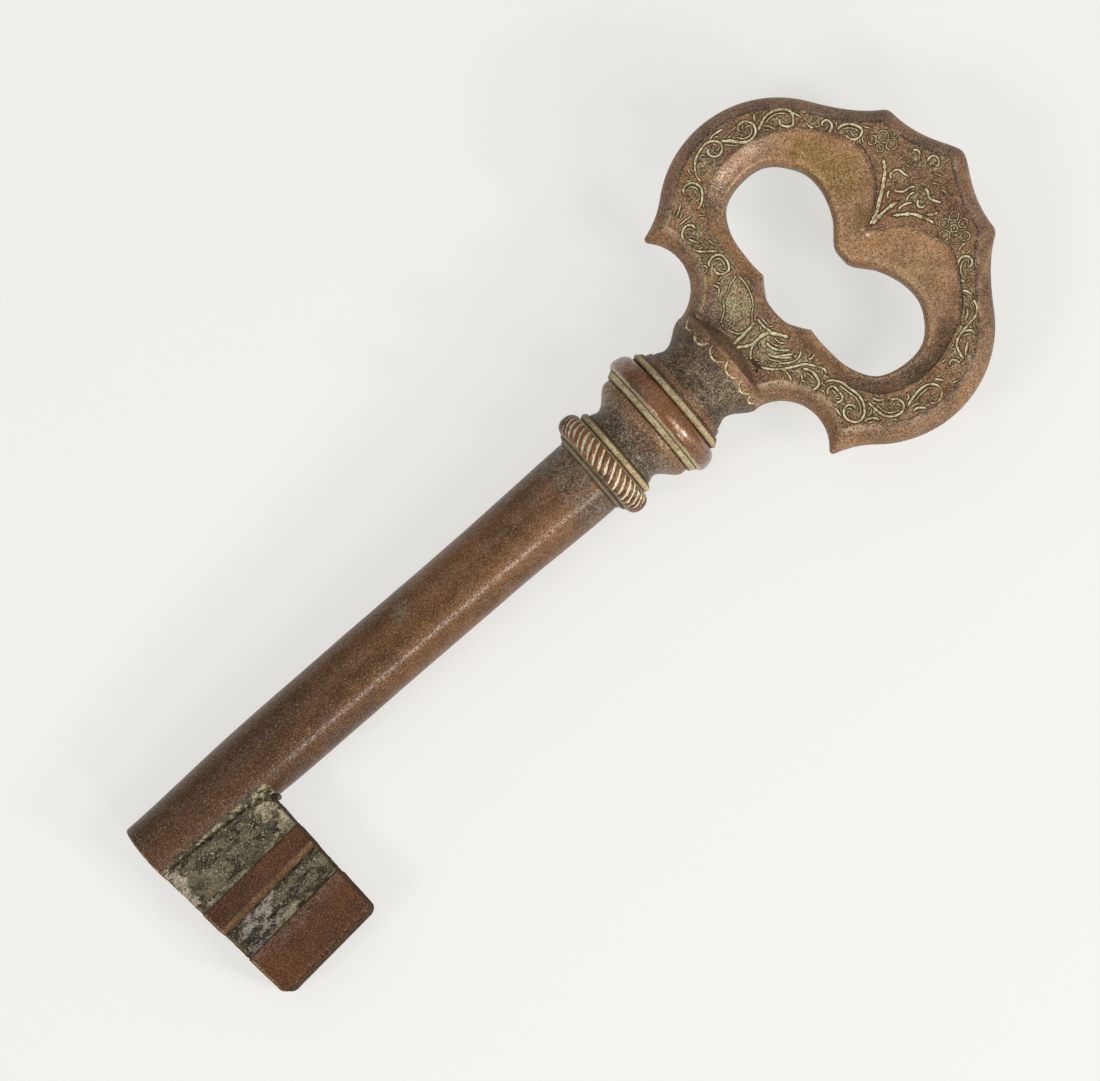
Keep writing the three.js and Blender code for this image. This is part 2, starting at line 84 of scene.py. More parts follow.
# Collar, as in the solid model. A ring's own box gives its length and its greatest radius.
FOOT_BACK_RADIUS, FOOT_FRONT_RADIUS = 11.6, 11.3
SPOOL_EDGE_RADIUS, SPOOL_WAIST_RADIUS = 10.9, 10.3
SPOOL_WAIST, SPOOL_RIM_LENGTH = 1.9, 1.1
SEAT_BACK_RADIUS = 14.9
TORUS_BACK_RADIUS, TORUS_FRONT_RADIUS, TORUS_TOP = 16.2, 14.5, 1.6
NECK_RING_BACK_RADIUS, NECK_RING_FRONT_RADIUS, NECK_RING_KNIFE = 14.3, 13.7, 0.8
ROPE_RADIUS, ROPE_BACK_RADIUS, ROPE_FRONT_RADIUS = 14.6, 12.3, 12.6
ROPE_FLUTES, ROPE_FLUTE_DEPTH, ROPE_FLUTE_SLANT, ROPE_END_FADE = 42, 0.7, 33, 0.3

# Neck of the bow, by distance from its foot on the last ring
NECK_FOOT_RADIUS, NECK_FOOT_LENGTH, NECK_STEP = 13.1, 1.5, 0.6
NECK_WAIST, NECK_WAIST_RADIUS = 4.6, 10.9
NECK_MOUTH, NECK_MOUTH_RADIUS = 12, 14.4
NECK_RIDGE, NECK_RIDGE_RADIUS = 14.4, 14.5
NECK_SHOULDER, NECK_SHOULDER_RADIUS = 19, 5

# Bow, as in the solid model: distances back from the crown tip and out from the axis
BOW_LENGTH, BOW_THICKNESS, BOW_HALF_WIDTH = 90.7, 13, 47.1
BOW_ROUND_RADIUS, BOW_CROWN_TO_WIDEST = 28.8, 43.9
SCALLOP_CENTRE, SCALLOP_SIDE, SCALLOP_RADIUS = 10.2, 14.2, 11.5
SHOULDER_BACK, SHOULDER_HALF_SPAN = 6.6, 20
CROWN_TIP_HALF_WIDTH = 3.2
FLANK_WIDTH = 4
SCALLOP_START, CUSP_ANGLE = -85, 52
ROUND_START, ROUND_END = 131, 33
CUSP_SWEEP_SHARE, SHOULDER_SWEEP_SHARE = 0.5, 0.66
CROWN_SWEEP_BACK, CROWN_SWEEP_SIDE = 0.97, 0.42
FLANK_BELLY_SHARE = 0.52

# Opening and dish of the bow: half outlines from the nose round the lobe to the tooth, then the notch.
# Shares are of the length, from the crown side, and of the half width.
OPENING_BACK, OPENING_LENGTH, OPENING_HALF_WIDTH = 32, 28.1, 30
OPENING_LOBE_SHARES = [
    (0.256, 0), (0.238, 0.105), (0.09, 0.285), (0.004, 0.51), (0.022, 0.735), (0.2, 0.95),
    (0.44, 1), (0.7, 0.93), (0.838, 0.72), (0.872, 0.46), (0.865, 0.297),
]
OPENING_NOTCH_SHARES = [(0.865, 0.297), (0.935, 0.205), (0.986, 0.115), (1, 0)]
DISH_BACK, DISH_LENGTH, DISH_HALF_WIDTH = 18.2, 42.8, 35.7
DISH_LOBE_SHARES = [
    (0.284, 0), (0.2, 0.067), (0.086, 0.175), (0.002, 0.38), (0.019, 0.546), (0.182, 0.829),
    (0.42, 0.972), (0.603, 1), (0.8, 0.94), (0.93, 0.77), (0.97, 0.532), (0.977, 0.238),
]
DISH_NOTCH_SHARES = [(0.977, 0.238), (0.984, 0.16), (0.994, 0.08), (1, 0)]
DISH_DEPTH, DISH_STEP = 2.7, 0.3
LIP_WIDTH_CROWN, LIP_WIDTH_NECK = 2.1, 0.45
WALL_HEIGHT = 2.4

# Bit, as in the solid model: reaches are from the shank's axis at the bit's own end, and each line
# across the blade leans towards the axis by its own few degrees.
BIT_SETBACK, BIT_LENGTH, BIT_REACH, BIT_THICKNESS = 0.6, 32.1, 48.2, 12.4
BIT_END_LEAN, BIT_HEEL_LEAN, BIT_FAR_LEAN = 6, 2, 4.4
BAR_NEAR, BAR_NEAR_LEAN = 20.4, 3.3
BAR_FAR, BAR_FAR_LEAN = 26, 4.2
BLOCK_EDGE, BLOCK_LEAN = 36, 4.8
ROOT_WARD_DEPTH, FAR_WARD_DEPTH, FAR_WARD_SLOPE = 1.3, 1.8, 1.5
BORE_WALL, TENON_THICKNESS, TENON_SETBACK = 1.2, 5, 3
BRAZE_RADIUS, BRAZE_INSET = 0.5, 0.8
HEEL_BEAD_RADIUS, HEEL_BEAD_LENGTH, HEEL_BEAD_HEIGHT = 0.9, 2.6, 3.4

# Wear that the solid model leaves out: blunted corners, rounded edges and the steps at ward walls
EDGE_WEAR = 0.04
CUSP_BLUNT, SHOULDER_BLUNT, LEAST_BLUNT = 2.1, 1.4, 0.4
CREASE_WIDTH = 0.35
BIT_CORNER_ROUND, BIT_FAR_ROUND, BIT_END_ROUND = 2.2, 1.5, 0.4
WARD_WALL = 0.3
SHARP_ANGLE = 0.5
RING_EDGE, FINE_RING_EDGE, SEAT_EDGE, NECK_EDGE = 0.18, 0.12, 0.3, 0.2
RING_WEAR, RING_DENT = 0.07, 3.5

# How finely the curves are cut
RING_STEPS = 144
COVE_STEPS, SPOOL_STEPS, TORUS_STEPS, ROPE_CREST_STEPS, NECK_STEPS = 8, 28, 16, 12, 20
ROPE_STEPS = 16 * ROPE_FLUTES
SHANK_STEPS, END_ROUND_STEPS = 150, 6
SCALLOP_STEPS, ROUND_STEPS, CROWN_STEPS = 46, 130, 34
LOBE_STEPS, NOTCH_STEPS, SPLINE_STEPS, BLUNT_STEPS, BEVEL_STEPS = 130, 16, 12, 12, 3
FLANK_STEPS, DISH_LAYERS, LIP_LAYERS = 9, 14, 8
BIT_ROWS, BIT_COLUMNS, BIT_LEVELS = (34, 16, 30, 34), 110, 30
ROW_CROWDING, COLUMN_CROWDING = 0.35, 0.6
BRAZE_STEPS, BRAZE_AROUND = 200, 18
MERGE_DISTANCE, CUTTER_MERGE = 0.0005, 0.001

# Stage, in millimetres
FLOOR_NORMAL = Vector((-0.05288, -0.05289, -0.99720))
FLOOR_DISTANCE, FLOOR_HALF = 15.344, 3000
PAPER = (0.88, 0.87, 0.84, 1)
PAPER_SEEN = (0.896, 0.888, 0.855, 1)
PAPER_GLOW = 0.66
SEEING_RAYS = ("Camera", "Glossy", "Transmission")
WORLD_COLOUR = (1, 1, 1, 1)
WORLD_STRENGTH = 0.36
CAMERA_LENS, CAMERA_SENSOR = 148.366, 36
CAMERA_AIM = Vector((-6.708, -5.789, 0))
CAMERA_DISTANCE, CAMERA_CLIP = 1098.8, 20000
CAMERA_ROLL, CAMERA_PAN, CAMERA_TILT = 40.623, 4.824, 5.596

# Lamps: name, direction from the key, size in metres, power and colour, all at one distance
LAMP_DISTANCE = 1.3
LAMPS = [
    ("right_light", (0.474, -0.866, 1.05), 0.45, 5.0, (1, 0.96, 0.91)),
    ("right_spark", (0.40, -0.85, 0.46), 0.16, 5.0, (1, 0.99, 0.97)),
    ("shank_streak", (-0.07, -0.86, 0.51), 0.24, 3.4, (1, 0.99, 0.97)),
    ("left_light", (-0.993, 0.105, 1.0), 0.35, 4.2, (1, 0.97, 0.94)),
    ("far_light", (0.1, 1.0, 1.5), 1.0, 1.6, (0.84, 0.92, 1)),
]


# Finishes

COAT_ROUGHNESS = 0.2
LIME, PALE_LIME, VERDIGRIS, SOOT, GLINT = "c2b68e", "efe4c0", "6f9078", "2a231c", "d6bd9c"


def tint(code):
    """A colour written as six hex digits, as the linear numbers that a shader takes."""
    parts = [int(code[i:i + 2], 16) / 255 for i in (0, 2, 4)]
    return (*[p / 12.92 if p <= 0.04045 else ((p + 0.055) / 1.055) ** 2.4 for p in parts], 1)


class Field:
    """A socket in an expression: each operator adds its Math node."""

    def __init__(self, surface, socket):
        self.surface = surface
        self.socket = socket

    def math(self, operation, *values):
        return self.surface.node("ShaderNodeMath", {"operation": operation}, values)

    def __add__(self, other):
        return self.math("ADD", self, other)

    __radd__ = __add__

    def __sub__(self, other):
        return self.math("SUBTRACT", self, other)

    def __rsub__(self, other):
        return self.math("SUBTRACT", other, self)

    def __mul__(self, other):
        return self.math("MULTIPLY", self, other)

    __rmul__ = __mul__

    def most(self, other):
        return self.math("MAXIMUM", self, other)


class Surface:
    """The nodes of one material. Sizes are in millimetres, and colours may be six hex digits."""

    def __init__(self, name):
        self.material = bpy.data.materials.new(name)
        self.material.use_nodes = True
        self.tree = self.material.node_tree
        self.tree.nodes.clear()
        self.place = self.node("ShaderNodeTexCoord", output="Object")

    def node(self, kind, settings=None, inputs=(), output=0):
        made = self.tree.nodes.new(kind)
        for name, value in (settings or {}).items():
            setattr(made, name, value)
        for key, value in inputs.items() if isinstance(inputs, dict) else enumerate(inputs):
            self.feed(made.inputs[key], value)
        return Field(self, made.outputs[output]) if made.outputs else None

    def feed(self, socket, value):
        if isinstance(value, Field):
            self.tree.links.new(value.socket, socket)
        else:
            socket.default_value = tint(value) if isinstance(value, str) else value

    def stretched(self, stretch, shift):
        return self.node("ShaderNodeMapping", inputs={
            "Vector": self.place, "Location": (shift, shift, shift), "Scale": stretch})

    def noise(self, size, detail=3, rough=0.55, stretch=(1, 1, 1), shift=0):
        return self.node("ShaderNodeTexNoise", inputs={
            "Vector": self.stretched(stretch, shift), "Scale": 1 / (size * MM),
            "Detail": detail, "Roughness": rough}, output="Fac")

    def cells(self, size, feature="F1", stretch=(1, 1, 1), shift=0):
        return self.node("ShaderNodeTexVoronoi", {"feature": feature}, {
            "Vector": self.stretched(stretch, shift), "Scale": 1 / (size * MM)}, "Distance")

    def band(self, field, low, high):
        """0 below the low value and 1 above the high one, or the other way round if low is larger."""
        return self.node("ShaderNodeMapRange", {"interpolation_type": "SMOOTHSTEP"}, {
            "Value": field, "From Min": low, "From Max": high})

    def mix(self, share, first, second):
        return self.node("ShaderNodeMix", {"data_type": "RGBA"}, {0: share, 6: first, 7: second}, 2)

    def value(self, name):
        return self.node("ShaderNodeAttribute", {"attribute_name": name}, output="Fac")

    def along(self, axis):
        """A coordinate in millimetres."""
        return self.node("ShaderNodeSeparateXYZ", inputs=[self.place], output=axis) * (1 / MM)

    def height(self):
        """The distance to either side of the key's middle plane."""
        level = self.along(2)
        return level.most(level * -1)

    def away_from(self, place, point):
        """The distance of a place from a point that is given in millimetres."""
        return self.node("ShaderNodeVectorMath", {"operation": "DISTANCE"}, [
            place, tuple(c * MM for c in point)], "Value") * (1 / MM)

    def stretch_of(self, start, end, fade, ragged=0.0):
        """1 between two places along the key, with faded ends that the noise makes ragged."""
        x = self.along(0)
        if ragged:
            x = x + (self.noise(2.2, 4, 0.65, shift=start) - 0.5) * (4 * ragged)
        return self.band(x, start - fade, start + fade) * self.band(x, end + fade, end - fade)

    def spot(self, centre, radius, ragged=1.0):
        """1 round a point, fading over an edge that the noise makes ragged."""
        away = self.away_from(self.place, centre)
        wobble = (self.noise(radius * 0.7, 4, 0.65, shift=radius) - 0.5) * (2 * ragged * radius)
        return self.band(away + wobble, radius, 0.45 * radius)

    def dots(self, size, radius, crowd, shift):
        """Small round specks of a share of the cells, more where the crowd field is high."""
        away = self.cells(size, shift=shift)
        return self.band(away, radius, radius * 0.3) * self.band(crowd, 0.4, 0.62)

    def near(self, places, radius):
        """1 round any of some places of the bow's plan, on either face."""
        flat = self.node("ShaderNodeVectorMath", {"operation": "MULTIPLY"}, [self.place, (1, 1, 0)])
        share = 0
        for back, side in places:
            away = self.away_from(flat, (crown_tip - back, side, 0))
            share = self.band(away, radius, radius * 0.3).most(share)
        return share

    def done(self, colour, roughness, metallic, height, relief, coat=0.0, specular=0.25, matt=None):
        """The finished material. The matt field says where it is dull instead of shiny."""
        bump = self.node("ShaderNodeBump", inputs={"Height": height, "Distance": relief * MM})
        shader = self.node("ShaderNodeBsdfPrincipled", inputs={
            "Base Color": colour, "Roughness": roughness, "Metallic": metallic, "Normal": bump,
            "Coat Weight": coat, "Coat Roughness": COAT_ROUGHNESS,
            "Specular IOR Level": specular})
        if matt:
            dull = self.node("ShaderNodeBsdfPrincipled", inputs={
                "Base Color": colour, "Roughness": 1, "Specular IOR Level": 0, "Normal": bump})
            shader = self.node("ShaderNodeMixShader", inputs=[matt, shader, dull])
        self.node("ShaderNodeOutputMaterial", inputs=[shader])
        return self.material


class Patina:
    """Old bronze: cloudy browns with glints, pits and crumbs of lime, under the tints of its parts."""

    def __init__(self, name, brown, dark, rosy, glints=0.5, pits=0.6, crumbs=0.3, clouds=(14, 14, 14)):
        surface = self.surface = Surface(name)
        stretch = tuple(14 / c for c in clouds)
        cloud = surface.noise(14, 4, stretch=stretch)
        self.patch = surface.noise(4.2, 5, 0.62, shift=0.31)
        self.grain = surface.noise(0.62, 3, 0.65, shift=0.17)
        self.speck = surface.noise(0.36, 2, 0.6, shift=0.83)
        self.drift = surface.noise(6, 4, 0.6, shift=0.71)
        pit = surface.band(surface.cells(1.1, shift=0.11), 0.26, 0.1)
        self.pit = pit * surface.band(self.drift, 0.42, 0.6) * pits
        self.colour = surface.mix(surface.band(cloud, 0.38, 0.64), brown, dark)
        self.tinted(surface.band(self.patch, 0.47, 0.66) * 0.65, rosy)
        self.crumb = surface.band(self.grain + (self.drift - 0.5) * 0.5, 0.66, 0.74) * crumbs
        self.pale = self.crumb
        self.glints = surface.dots(0.5, 0.42, self.drift, 0.5) * glints
        self.glints = self.glints.most(surface.dots(0.7, 0.34, self.grain, 0.23) * glints)

    def tinted(self, share, colour):
        self.colour = self.surface.mix(share, self.colour, colour)

    def mottled(self, where, pattern, low, high, share, colour):
        """A tint in some place, where a pattern is past a value."""
        self.tinted(where * self.surface.band(pattern, low, high) * share, colour)

    def crusted(self, share, colour):
        """A deposit: coloured, dull and a little proud of the metal."""
        self.tinted(share, colour)
        self.pale = self.pale.most(share)

    def finished(
            self, smooth=0.42, rough=0.55, metallic=0.3, relief=0.13, coat=0.15, mottle=0.7, matt=None):
        surface = self.surface
        self.tinted(surface.band(self.drift, 0.5, 0.36) * (0.3 * mottle), SOOT)
        self.tinted(surface.band(self.grain, 0.52, 0.38) * (0.55 * mottle), SOOT)
        self.tinted(surface.band(self.speck, 0.5, 0.38) * (0.6 * mottle), SOOT)
        self.tinted(surface.band(self.speck, 0.55, 0.66) * (0.4 * mottle), GLINT)
        self.tinted(self.glints, GLINT)
        self.tinted(self.pit, SOOT)
        self.tinted(self.crumb, LIME)
        gloss = surface.band(self.patch, 0.3, 0.7) * (rough - smooth) + smooth
        height = self.grain * 0.5 + self.speck * 0.3 + self.patch * 0.9 - self.pit + self.pale * 0.35
        worn = surface.band(self.grain + self.speck, 0.84, 1.1) * (1.6 * coat)
        roughness = gloss + self.pale * 0.3
        return surface.done(
            self.colour, roughness, (1 - self.pale) * metallic, height, relief, worn, matt=matt)


def in_bow(back, side, height=BOW_THICKNESS / 2):
    return (crown_tip - back, side, height)


# Places on the bow's faces with a tint: where, how wide, what colour and how strong
BOW_TINTS = [
    ((68, 0), 9, "7a5f50", 0.6), ((74, 9), 8, "64504a", 0.7), ((76, -9), 8, "75594c", 0.6),
    ((10, 3), 9, "876a4e", 0.4), ((5, -18), 8, "93735a", 0.4), ((62, 22), 9, "6b5c46", 0.5),
    ((44, 44), 9, "8a6e54", 0.4), ((30, -42), 9, "96745a", 0.5), ((55, -44), 9, "a07c5c", 0.5),
]
# Some tints in the dishes are painted light: the pale pinkish ones on the upper dish wall are a painted
# sheen and the dark browns are painted shade.
DISH_TINTS = [
    ((30, 22), 8, "94732f", 0.6), ((26, 14), 7, "8f6f2c", 0.65), ((31, 4), 5, "9a7a44", 0.5),
    ((36, 34), 6, "b08f78", 0.6), ((44, 34), 8, "a98a74", 0.5), ((53, 30), 8, "6d5a48", 0.7),
    ((30, -14), 8, "b08f66", 0.6), ((33, -24), 8, "ac8a6c", 0.5), ((44, -33), 8, "7c6450", 0.6),
    ((54, -28), 9, "65523f", 0.7), ((60, 0), 12, "7d5f4c", 0.7), ((34, -33), 6, "6a4f3a", 0.7),
    ((45, -36), 7, "5f4a38", 0.6),
]

# Smears of lime on the bow's front: where, how wide and how strong
BOW_SMEARS = [
    ((49, 37), 5, 0.5), ((20, 16), 4, 0.35), ((15, 13), 4, 0.4), ((15, -13), 4, 0.35),
    ((66, 8), 6, 0.45), ((62, 33), 5, 0.4), ((66, -8), 6, 0.3), ((60, -27), 5, 0.25),
    ((63, 17), 5, 0.5), ((24, 27), 4, 0.3),
]

# Dirt caught in the engraving: places along its band, in its thickest tangle and in the shield
GRIME_PLACES = [
    (37, 37), (29, 34), (23, 28), (18, 20.5), (13, 14), (17, 6), (10, 6), (8, 1.5), (17, -2),
    (15, -13.5), (19, -21), (23.5, -28), (29, -34), (34, -38), (48, 39), (56, 34), (63, 28), (63, 17),
    (67, 9), (66, 4), (66, -3), (67, -9), (65, -14), (63, -19), (61, -27), (60, -33), (55, -36),
]
TANGLE_PLACES = [(69, -3), (68, -8), (65, -13), (63, 17), (65, 12)]
SHIELD_PLACES = [(66.3, 6.3)]
GRIME_RADIUS, TANGLE_RADIUS, SHIELD_RADIUS = 4.2, 4.5, 5.5

# A painted highlight on worn metal along the edges near each scallop
SCALLOP_WEAR_AND_HIGHLIGHT_RADIUS = 34
SCALLOP_PLACES = [
    (BOW_LENGTH - SCALLOP_CENTRE, SCALLOP_SIDE + SCALLOP_RADIUS),
    (BOW_LENGTH - SCALLOP_CENTRE, -SCALLOP_SIDE - SCALLOP_RADIUS),
]


def tinted_places(patina, places):
    for (back, side), radius, colour, share in places:
        for face in (1, -1):
            spot = patina.surface.spot(in_bow(back, side, face * BOW_THICKNESS / 2), radius, 0.7)
            patina.tinted(spot * share, colour)


def edge_shade_and_highlight(patina):
    """Painted shade along the creases, with some grime, and a painted highlight on the opening's worn lip.
    """
    fine = patina.surface.noise(1.4, 4, 0.7, shift=0.52)
    patina.mottled(patina.surface.value("dirt_and_shade"), fine, 0.3, 0.48, 0.9, "35261a")
    patina.mottled(patina.surface.value("wear_and_highlight"), fine, 0.4, 0.56, 0.7, "c9a67c")


def grimed(patina):
    """Lime and grime that has caught in and beside the engraving."""
    surface = patina.surface
    fine = surface.band(surface.noise(0.8, 4, 0.7, shift=0.4), 0.5, 0.6)
    for (back, side), radius, share in BOW_SMEARS:
        smear = surface.spot(in_bow(back, side), radius, 0.8)
        patina.crusted(smear * fine * share, LIME)
    grime = surface.near(GRIME_PLACES, GRIME_RADIUS)
    patina.mottled(grime, patina.grain, 0.52, 0.4, 0.55, "3f3023")
    smear = surface.noise(0.9, 4, 0.75, shift=0.66)
    patina.crusted(grime * surface.band(smear, 0.5, 0.6) * 0.8, "bdb488")
    shield = surface.near(SHIELD_PLACES, SHIELD_RADIUS)
    patina.crusted(shield * surface.band(smear, 0.42, 0.56) * 0.85, "a6a17a")
    tangle = surface.near(TANGLE_PLACES, TANGLE_RADIUS)
    patina.crusted(tangle * surface.band(smear, 0.45, 0.57) * 0.9, "b5ac84")


def sooted_neck_and_shaded_cone(patina):
    """The dark, crusty neck, the shaded cone behind it and the browner flare."""
    surface = patina.surface
    neck = surface.stretch_of(neck_foot + 1.6, neck_foot + 11.4, 0.8, 1.0)
    soot = surface.noise(1.1, 4, 0.7, shift=0.6)
    patina.tinted(neck * 0.6, "554534")
    patina.mottled(neck, soot, 0.4, 0.56, 0.85, "37322a")
    patina.mottled(neck, patina.drift, 0.5, 0.66, 0.5, "83745f")
    crust = surface.spot(in_bow(83, -8.4, 11), 4.5, 0.9)
    patina.crusted(crust * surface.band(patina.grain, 0.46, 0.6) * 0.8, "978c74")
    half = BOW_THICKNESS / 2
    # Painted shade on the slope behind the flare's ridge.
    cone = surface.stretch_of(neck_foot + 14.5, neck_foot + 19, 0.3)
    cone = cone * surface.band(surface.height(), half + 0.1, half + 0.9)
    patina.tinted(cone * 0.6, "463526")
    flare = surface.stretch_of(neck_foot + 11.6, neck_foot + 15.0, 0.8, 0.8)
    patina.tinted(flare * 0.35, "74502f")


def bow_bronze():
    patina = Patina("bow_bronze", "956c48", "715037", "a37c5e", glints=0.5, pits=0.8, crumbs=0.35)
    surface = patina.surface
    tinted_places(patina, BOW_TINTS)
    grimed(patina)
    sooted_neck_and_shaded_cone(patina)
    height = surface.height()
    # A painted highlight: a lighter pinkish band high on the flanks, just below the face.
    strip = surface.band(height, 5.0, 5.9) * surface.band(height, 6.49, 6.3)
    strip = strip * surface.stretch_of(neck_foot + 20, crown_tip + 3, 1)
    patina.mottled(strip, patina.patch, 0.36, 0.56, 0.55, "bd9a84")
    edge_shade_and_highlight(patina)
    # A painted highlight on worn metal: pale lines along the creases near each scallop.
    scallop_wear_and_highlight = surface.value("dirt_and_shade") * surface.near(SCALLOP_PLACES, SCALLOP_WEAR_AND_HIGHLIGHT_RADIUS)
    patina.mottled(scallop_wear_and_highlight, patina.grain, 0.34, 0.48, 0.85, "d9bd92")
    foot = surface.stretch_of(neck_foot - 1, neck_foot + 1.5, 0.25)
    patina.tinted(foot * 0.7, "7a563c")
    patina.crusted(surface.spot((neck_foot + 6.5, -7.5, 10), 1.0, 0.6), VERDIGRIS)
    return patina.finished(smooth=0.46, rough=0.58, metallic=0.2, coat=0.06, mottle=0.8)


def dish_bronze():
    patina = Patina("dish_bronze", "ab7e54", "8d6543", "b78d6a", glints=0.75, pits=0.6, crumbs=0.3)
    surface = patina.surface
    tinted_places(patina, DISH_TINTS)
    height = surface.height()
    # A golden band at the lip, and below it the opening's wall darker, which is painted shade.
    patina.tinted(surface.band(height, 3.2, 2.2) * 0.7, "8a5f2c")
    patina.tinted(surface.band(height, 1.9, 1.2) * 0.8, "5c4630")
    for side in (1.1, -0.9):
        patina.crusted(surface.spot(in_bow(31.4, side, 5.6), 0.8, 0.5), "e0d2bc")
    edge_shade_and_highlight(patina)
    return patina.finished(smooth=0.4, rough=0.52, metallic=0.25, coat=0.15, mottle=0.75)


def shank_bronze():
    patina = Patina(
        "shank_bronze", "704823", "513213", "7d532e", glints=0.12, pits=0.4, crumbs=0.05,
        clouds=(34, 11, 11))
    surface = patina.surface
    shank_end = bit_end + SHANK_LENGTH
    x = surface.along(0)
    patina.tinted(surface.band(x, -30, -112) * 0.85, "4b2e14")
    patina.mottled(surface.band(x, -60, 5), patina.patch, 0.4, 0.6, 0.3, "82654d")
    dirt_and_shade = surface.stretch_of(shank_end - 8, shank_end + 1, 3, 1.5)
    fine = surface.band(surface.noise(0.9, 4, 0.7, shift=0.4), 0.42, 0.6)
    patina.crusted(dirt_and_shade * fine * 0.7, "857d70")
    patina.tinted(dirt_and_shade * surface.band(patina.grain, 0.5, 0.36), "3c3a2e")
    patina.crusted(surface.spot((3, 6.8, 7.2), 1.5, 0.7) * 0.9, "4f6652")
    patina.crusted(surface.spot((-45, 4, 8.8), 3.2, 1.1) * fine * 0.8, "707764")
    lump = surface.noise(1.4, 4, 0.65, shift=0.9)
    seam = surface.band(surface.along(1) + (lump - 0.5) * 3, -5.2, -5.9) * surface.stretch_of(
        bit_end, bit_end + BIT_LENGTH + 2, 0.5, 0.6)
    patina.crusted(seam * 0.9, "4c4836")
    patina.tinted(seam * surface.band(lump, 0.55, 0.6), "b3a782")
    patina.tinted(seam * surface.band(lump, 0.46, 0.41), "1c1a13")
    # A painted highlight: a pale tan line round the shank's end.
    patina.crusted(surface.band(x, bit_end + 0.7, bit_end + 0.3) * fine * 0.9, "c79a66")
    return patina.finished(smooth=0.36, rough=0.46, metallic=0.3, relief=0.2, coat=0.25, mottle=0.5)


def bit_bronze():
    """Red bronze, with crust, lime, tan metal and grime where the bit's own values put them, painted shade
    on its outer edge and side walls, and a painted highlight along its end's edge.
    """
    patina = Patina("bit_bronze", "5b3416", "43240b", "633b1b", glints=0.06, pits=0.5, crumbs=0.0)
    surface = patina.surface
    crust = surface.value("crust")
    pale = surface.value("pale")
    fine = surface.noise(0.55, 3, 0.7, shift=0.44)
    lump = surface.noise(2.4, 5, 0.7, shift=0.62)
    streak = surface.noise(2.6, 5, 0.75, (0.3, 1.4, 1), 0.27)
    flake = surface.noise(2.6, 3, 0.55, (0.7, 1.2, 1), 0.15)
    broad = surface.noise(5.5, 3, 0.5, shift=0.35)
    light_dots = surface.dots(0.75, 0.42, lump, 0.33)
    dark_dots = surface.dots(0.6, 0.5, streak, 0.71)
    crack = surface.band(surface.cells(2.4, "DISTANCE_TO_EDGE") + (fine - 0.5) * 0.25, 0.09, 0.02)
    patina.mottled(surface.value("haze"), fine, 0.44, 0.6, 0.75, "7b675a")
    patina.crusted(crust, "665f46")
    patina.mottled(crust, lump, 0.46, 0.6, 0.7, "3b3a2c")
    patina.mottled(crust, streak, 0.55, 0.64, 0.7, "746a64")
    patina.mottled(crust, fine, 0.5, 0.38, 0.8, "26231a")
    patina.mottled(crust, fine, 0.58, 0.66, 0.7, "8f866a")
    patina.mottled(crust, broad, 0.52, 0.6, 0.35, "7c7658")
    patina.mottled(crust, broad, 0.5, 0.44, 0.7, "24271d")
    patina.mottled(crust, flake, 0.55, 0.58, 0.4, "837a66")
    patina.mottled(crust, flake, 0.46, 0.42, 0.8, "1d1b12")
    patina.tinted(crust * light_dots * 0.9, "cdc39e")
    patina.tinted((crust * 0.4 + pale * 0.5) * crack * surface.band(lump, 0.46, 0.56), "191610")
    patina.tinted(crust * dark_dots * 0.8, "14120d")
    patina.crusted(pale, "ada182")
    patina.mottled(pale, lump, 0.5, 0.64, 0.8, "7d725a")
    patina.mottled(pale, streak, 0.56, 0.64, 0.7, "5b5546")
    patina.mottled(pale, fine, 0.5, 0.4, 0.8, "332e22")
    patina.mottled(pale, flake, 0.45, 0.41, 0.8, "554c38")
    patina.mottled(pale, flake, 0.54, 0.58, 0.45, "cfc6a6")
    patina.tinted(pale * dark_dots * 0.85, "1b1811")
    violet = surface.value("violet")
    patina.mottled(violet, flake, 0.45, 0.51, 0.85, "a89e98")
    patina.mottled(violet, fine, 0.5, 0.4, 0.7, "37332c")
    patina.tinted(surface.value("tan") * 0.85, "7c5a36")
    patina.mottled(surface.value("tan"), fine, 0.56, 0.64, 0.6, "b99360")
    patina.tinted(surface.value("line") * surface.band(fine, 0.3, 0.5), "17150f")
    # Painted shade on the outer edge and the side walls, which are also made dull.
    patina.mottled(surface.value("far"), fine, 0.3, 0.6, 0.5, "5a4a34")
    patina.mottled(surface.value("far"), fine, 0.62, 0.4, 0.9, "1c150d")
    # A painted highlight: a pale tan line along the end's edge.
    patina.crusted(surface.value("rim") * surface.band(fine, 0.4, 0.52), "c49a62")
    return patina.finished(
        smooth=0.4, rough=0.5, metallic=0.3, relief=0.3, coat=0.06, mottle=0.5,
        matt=surface.value("far") * 0.9)


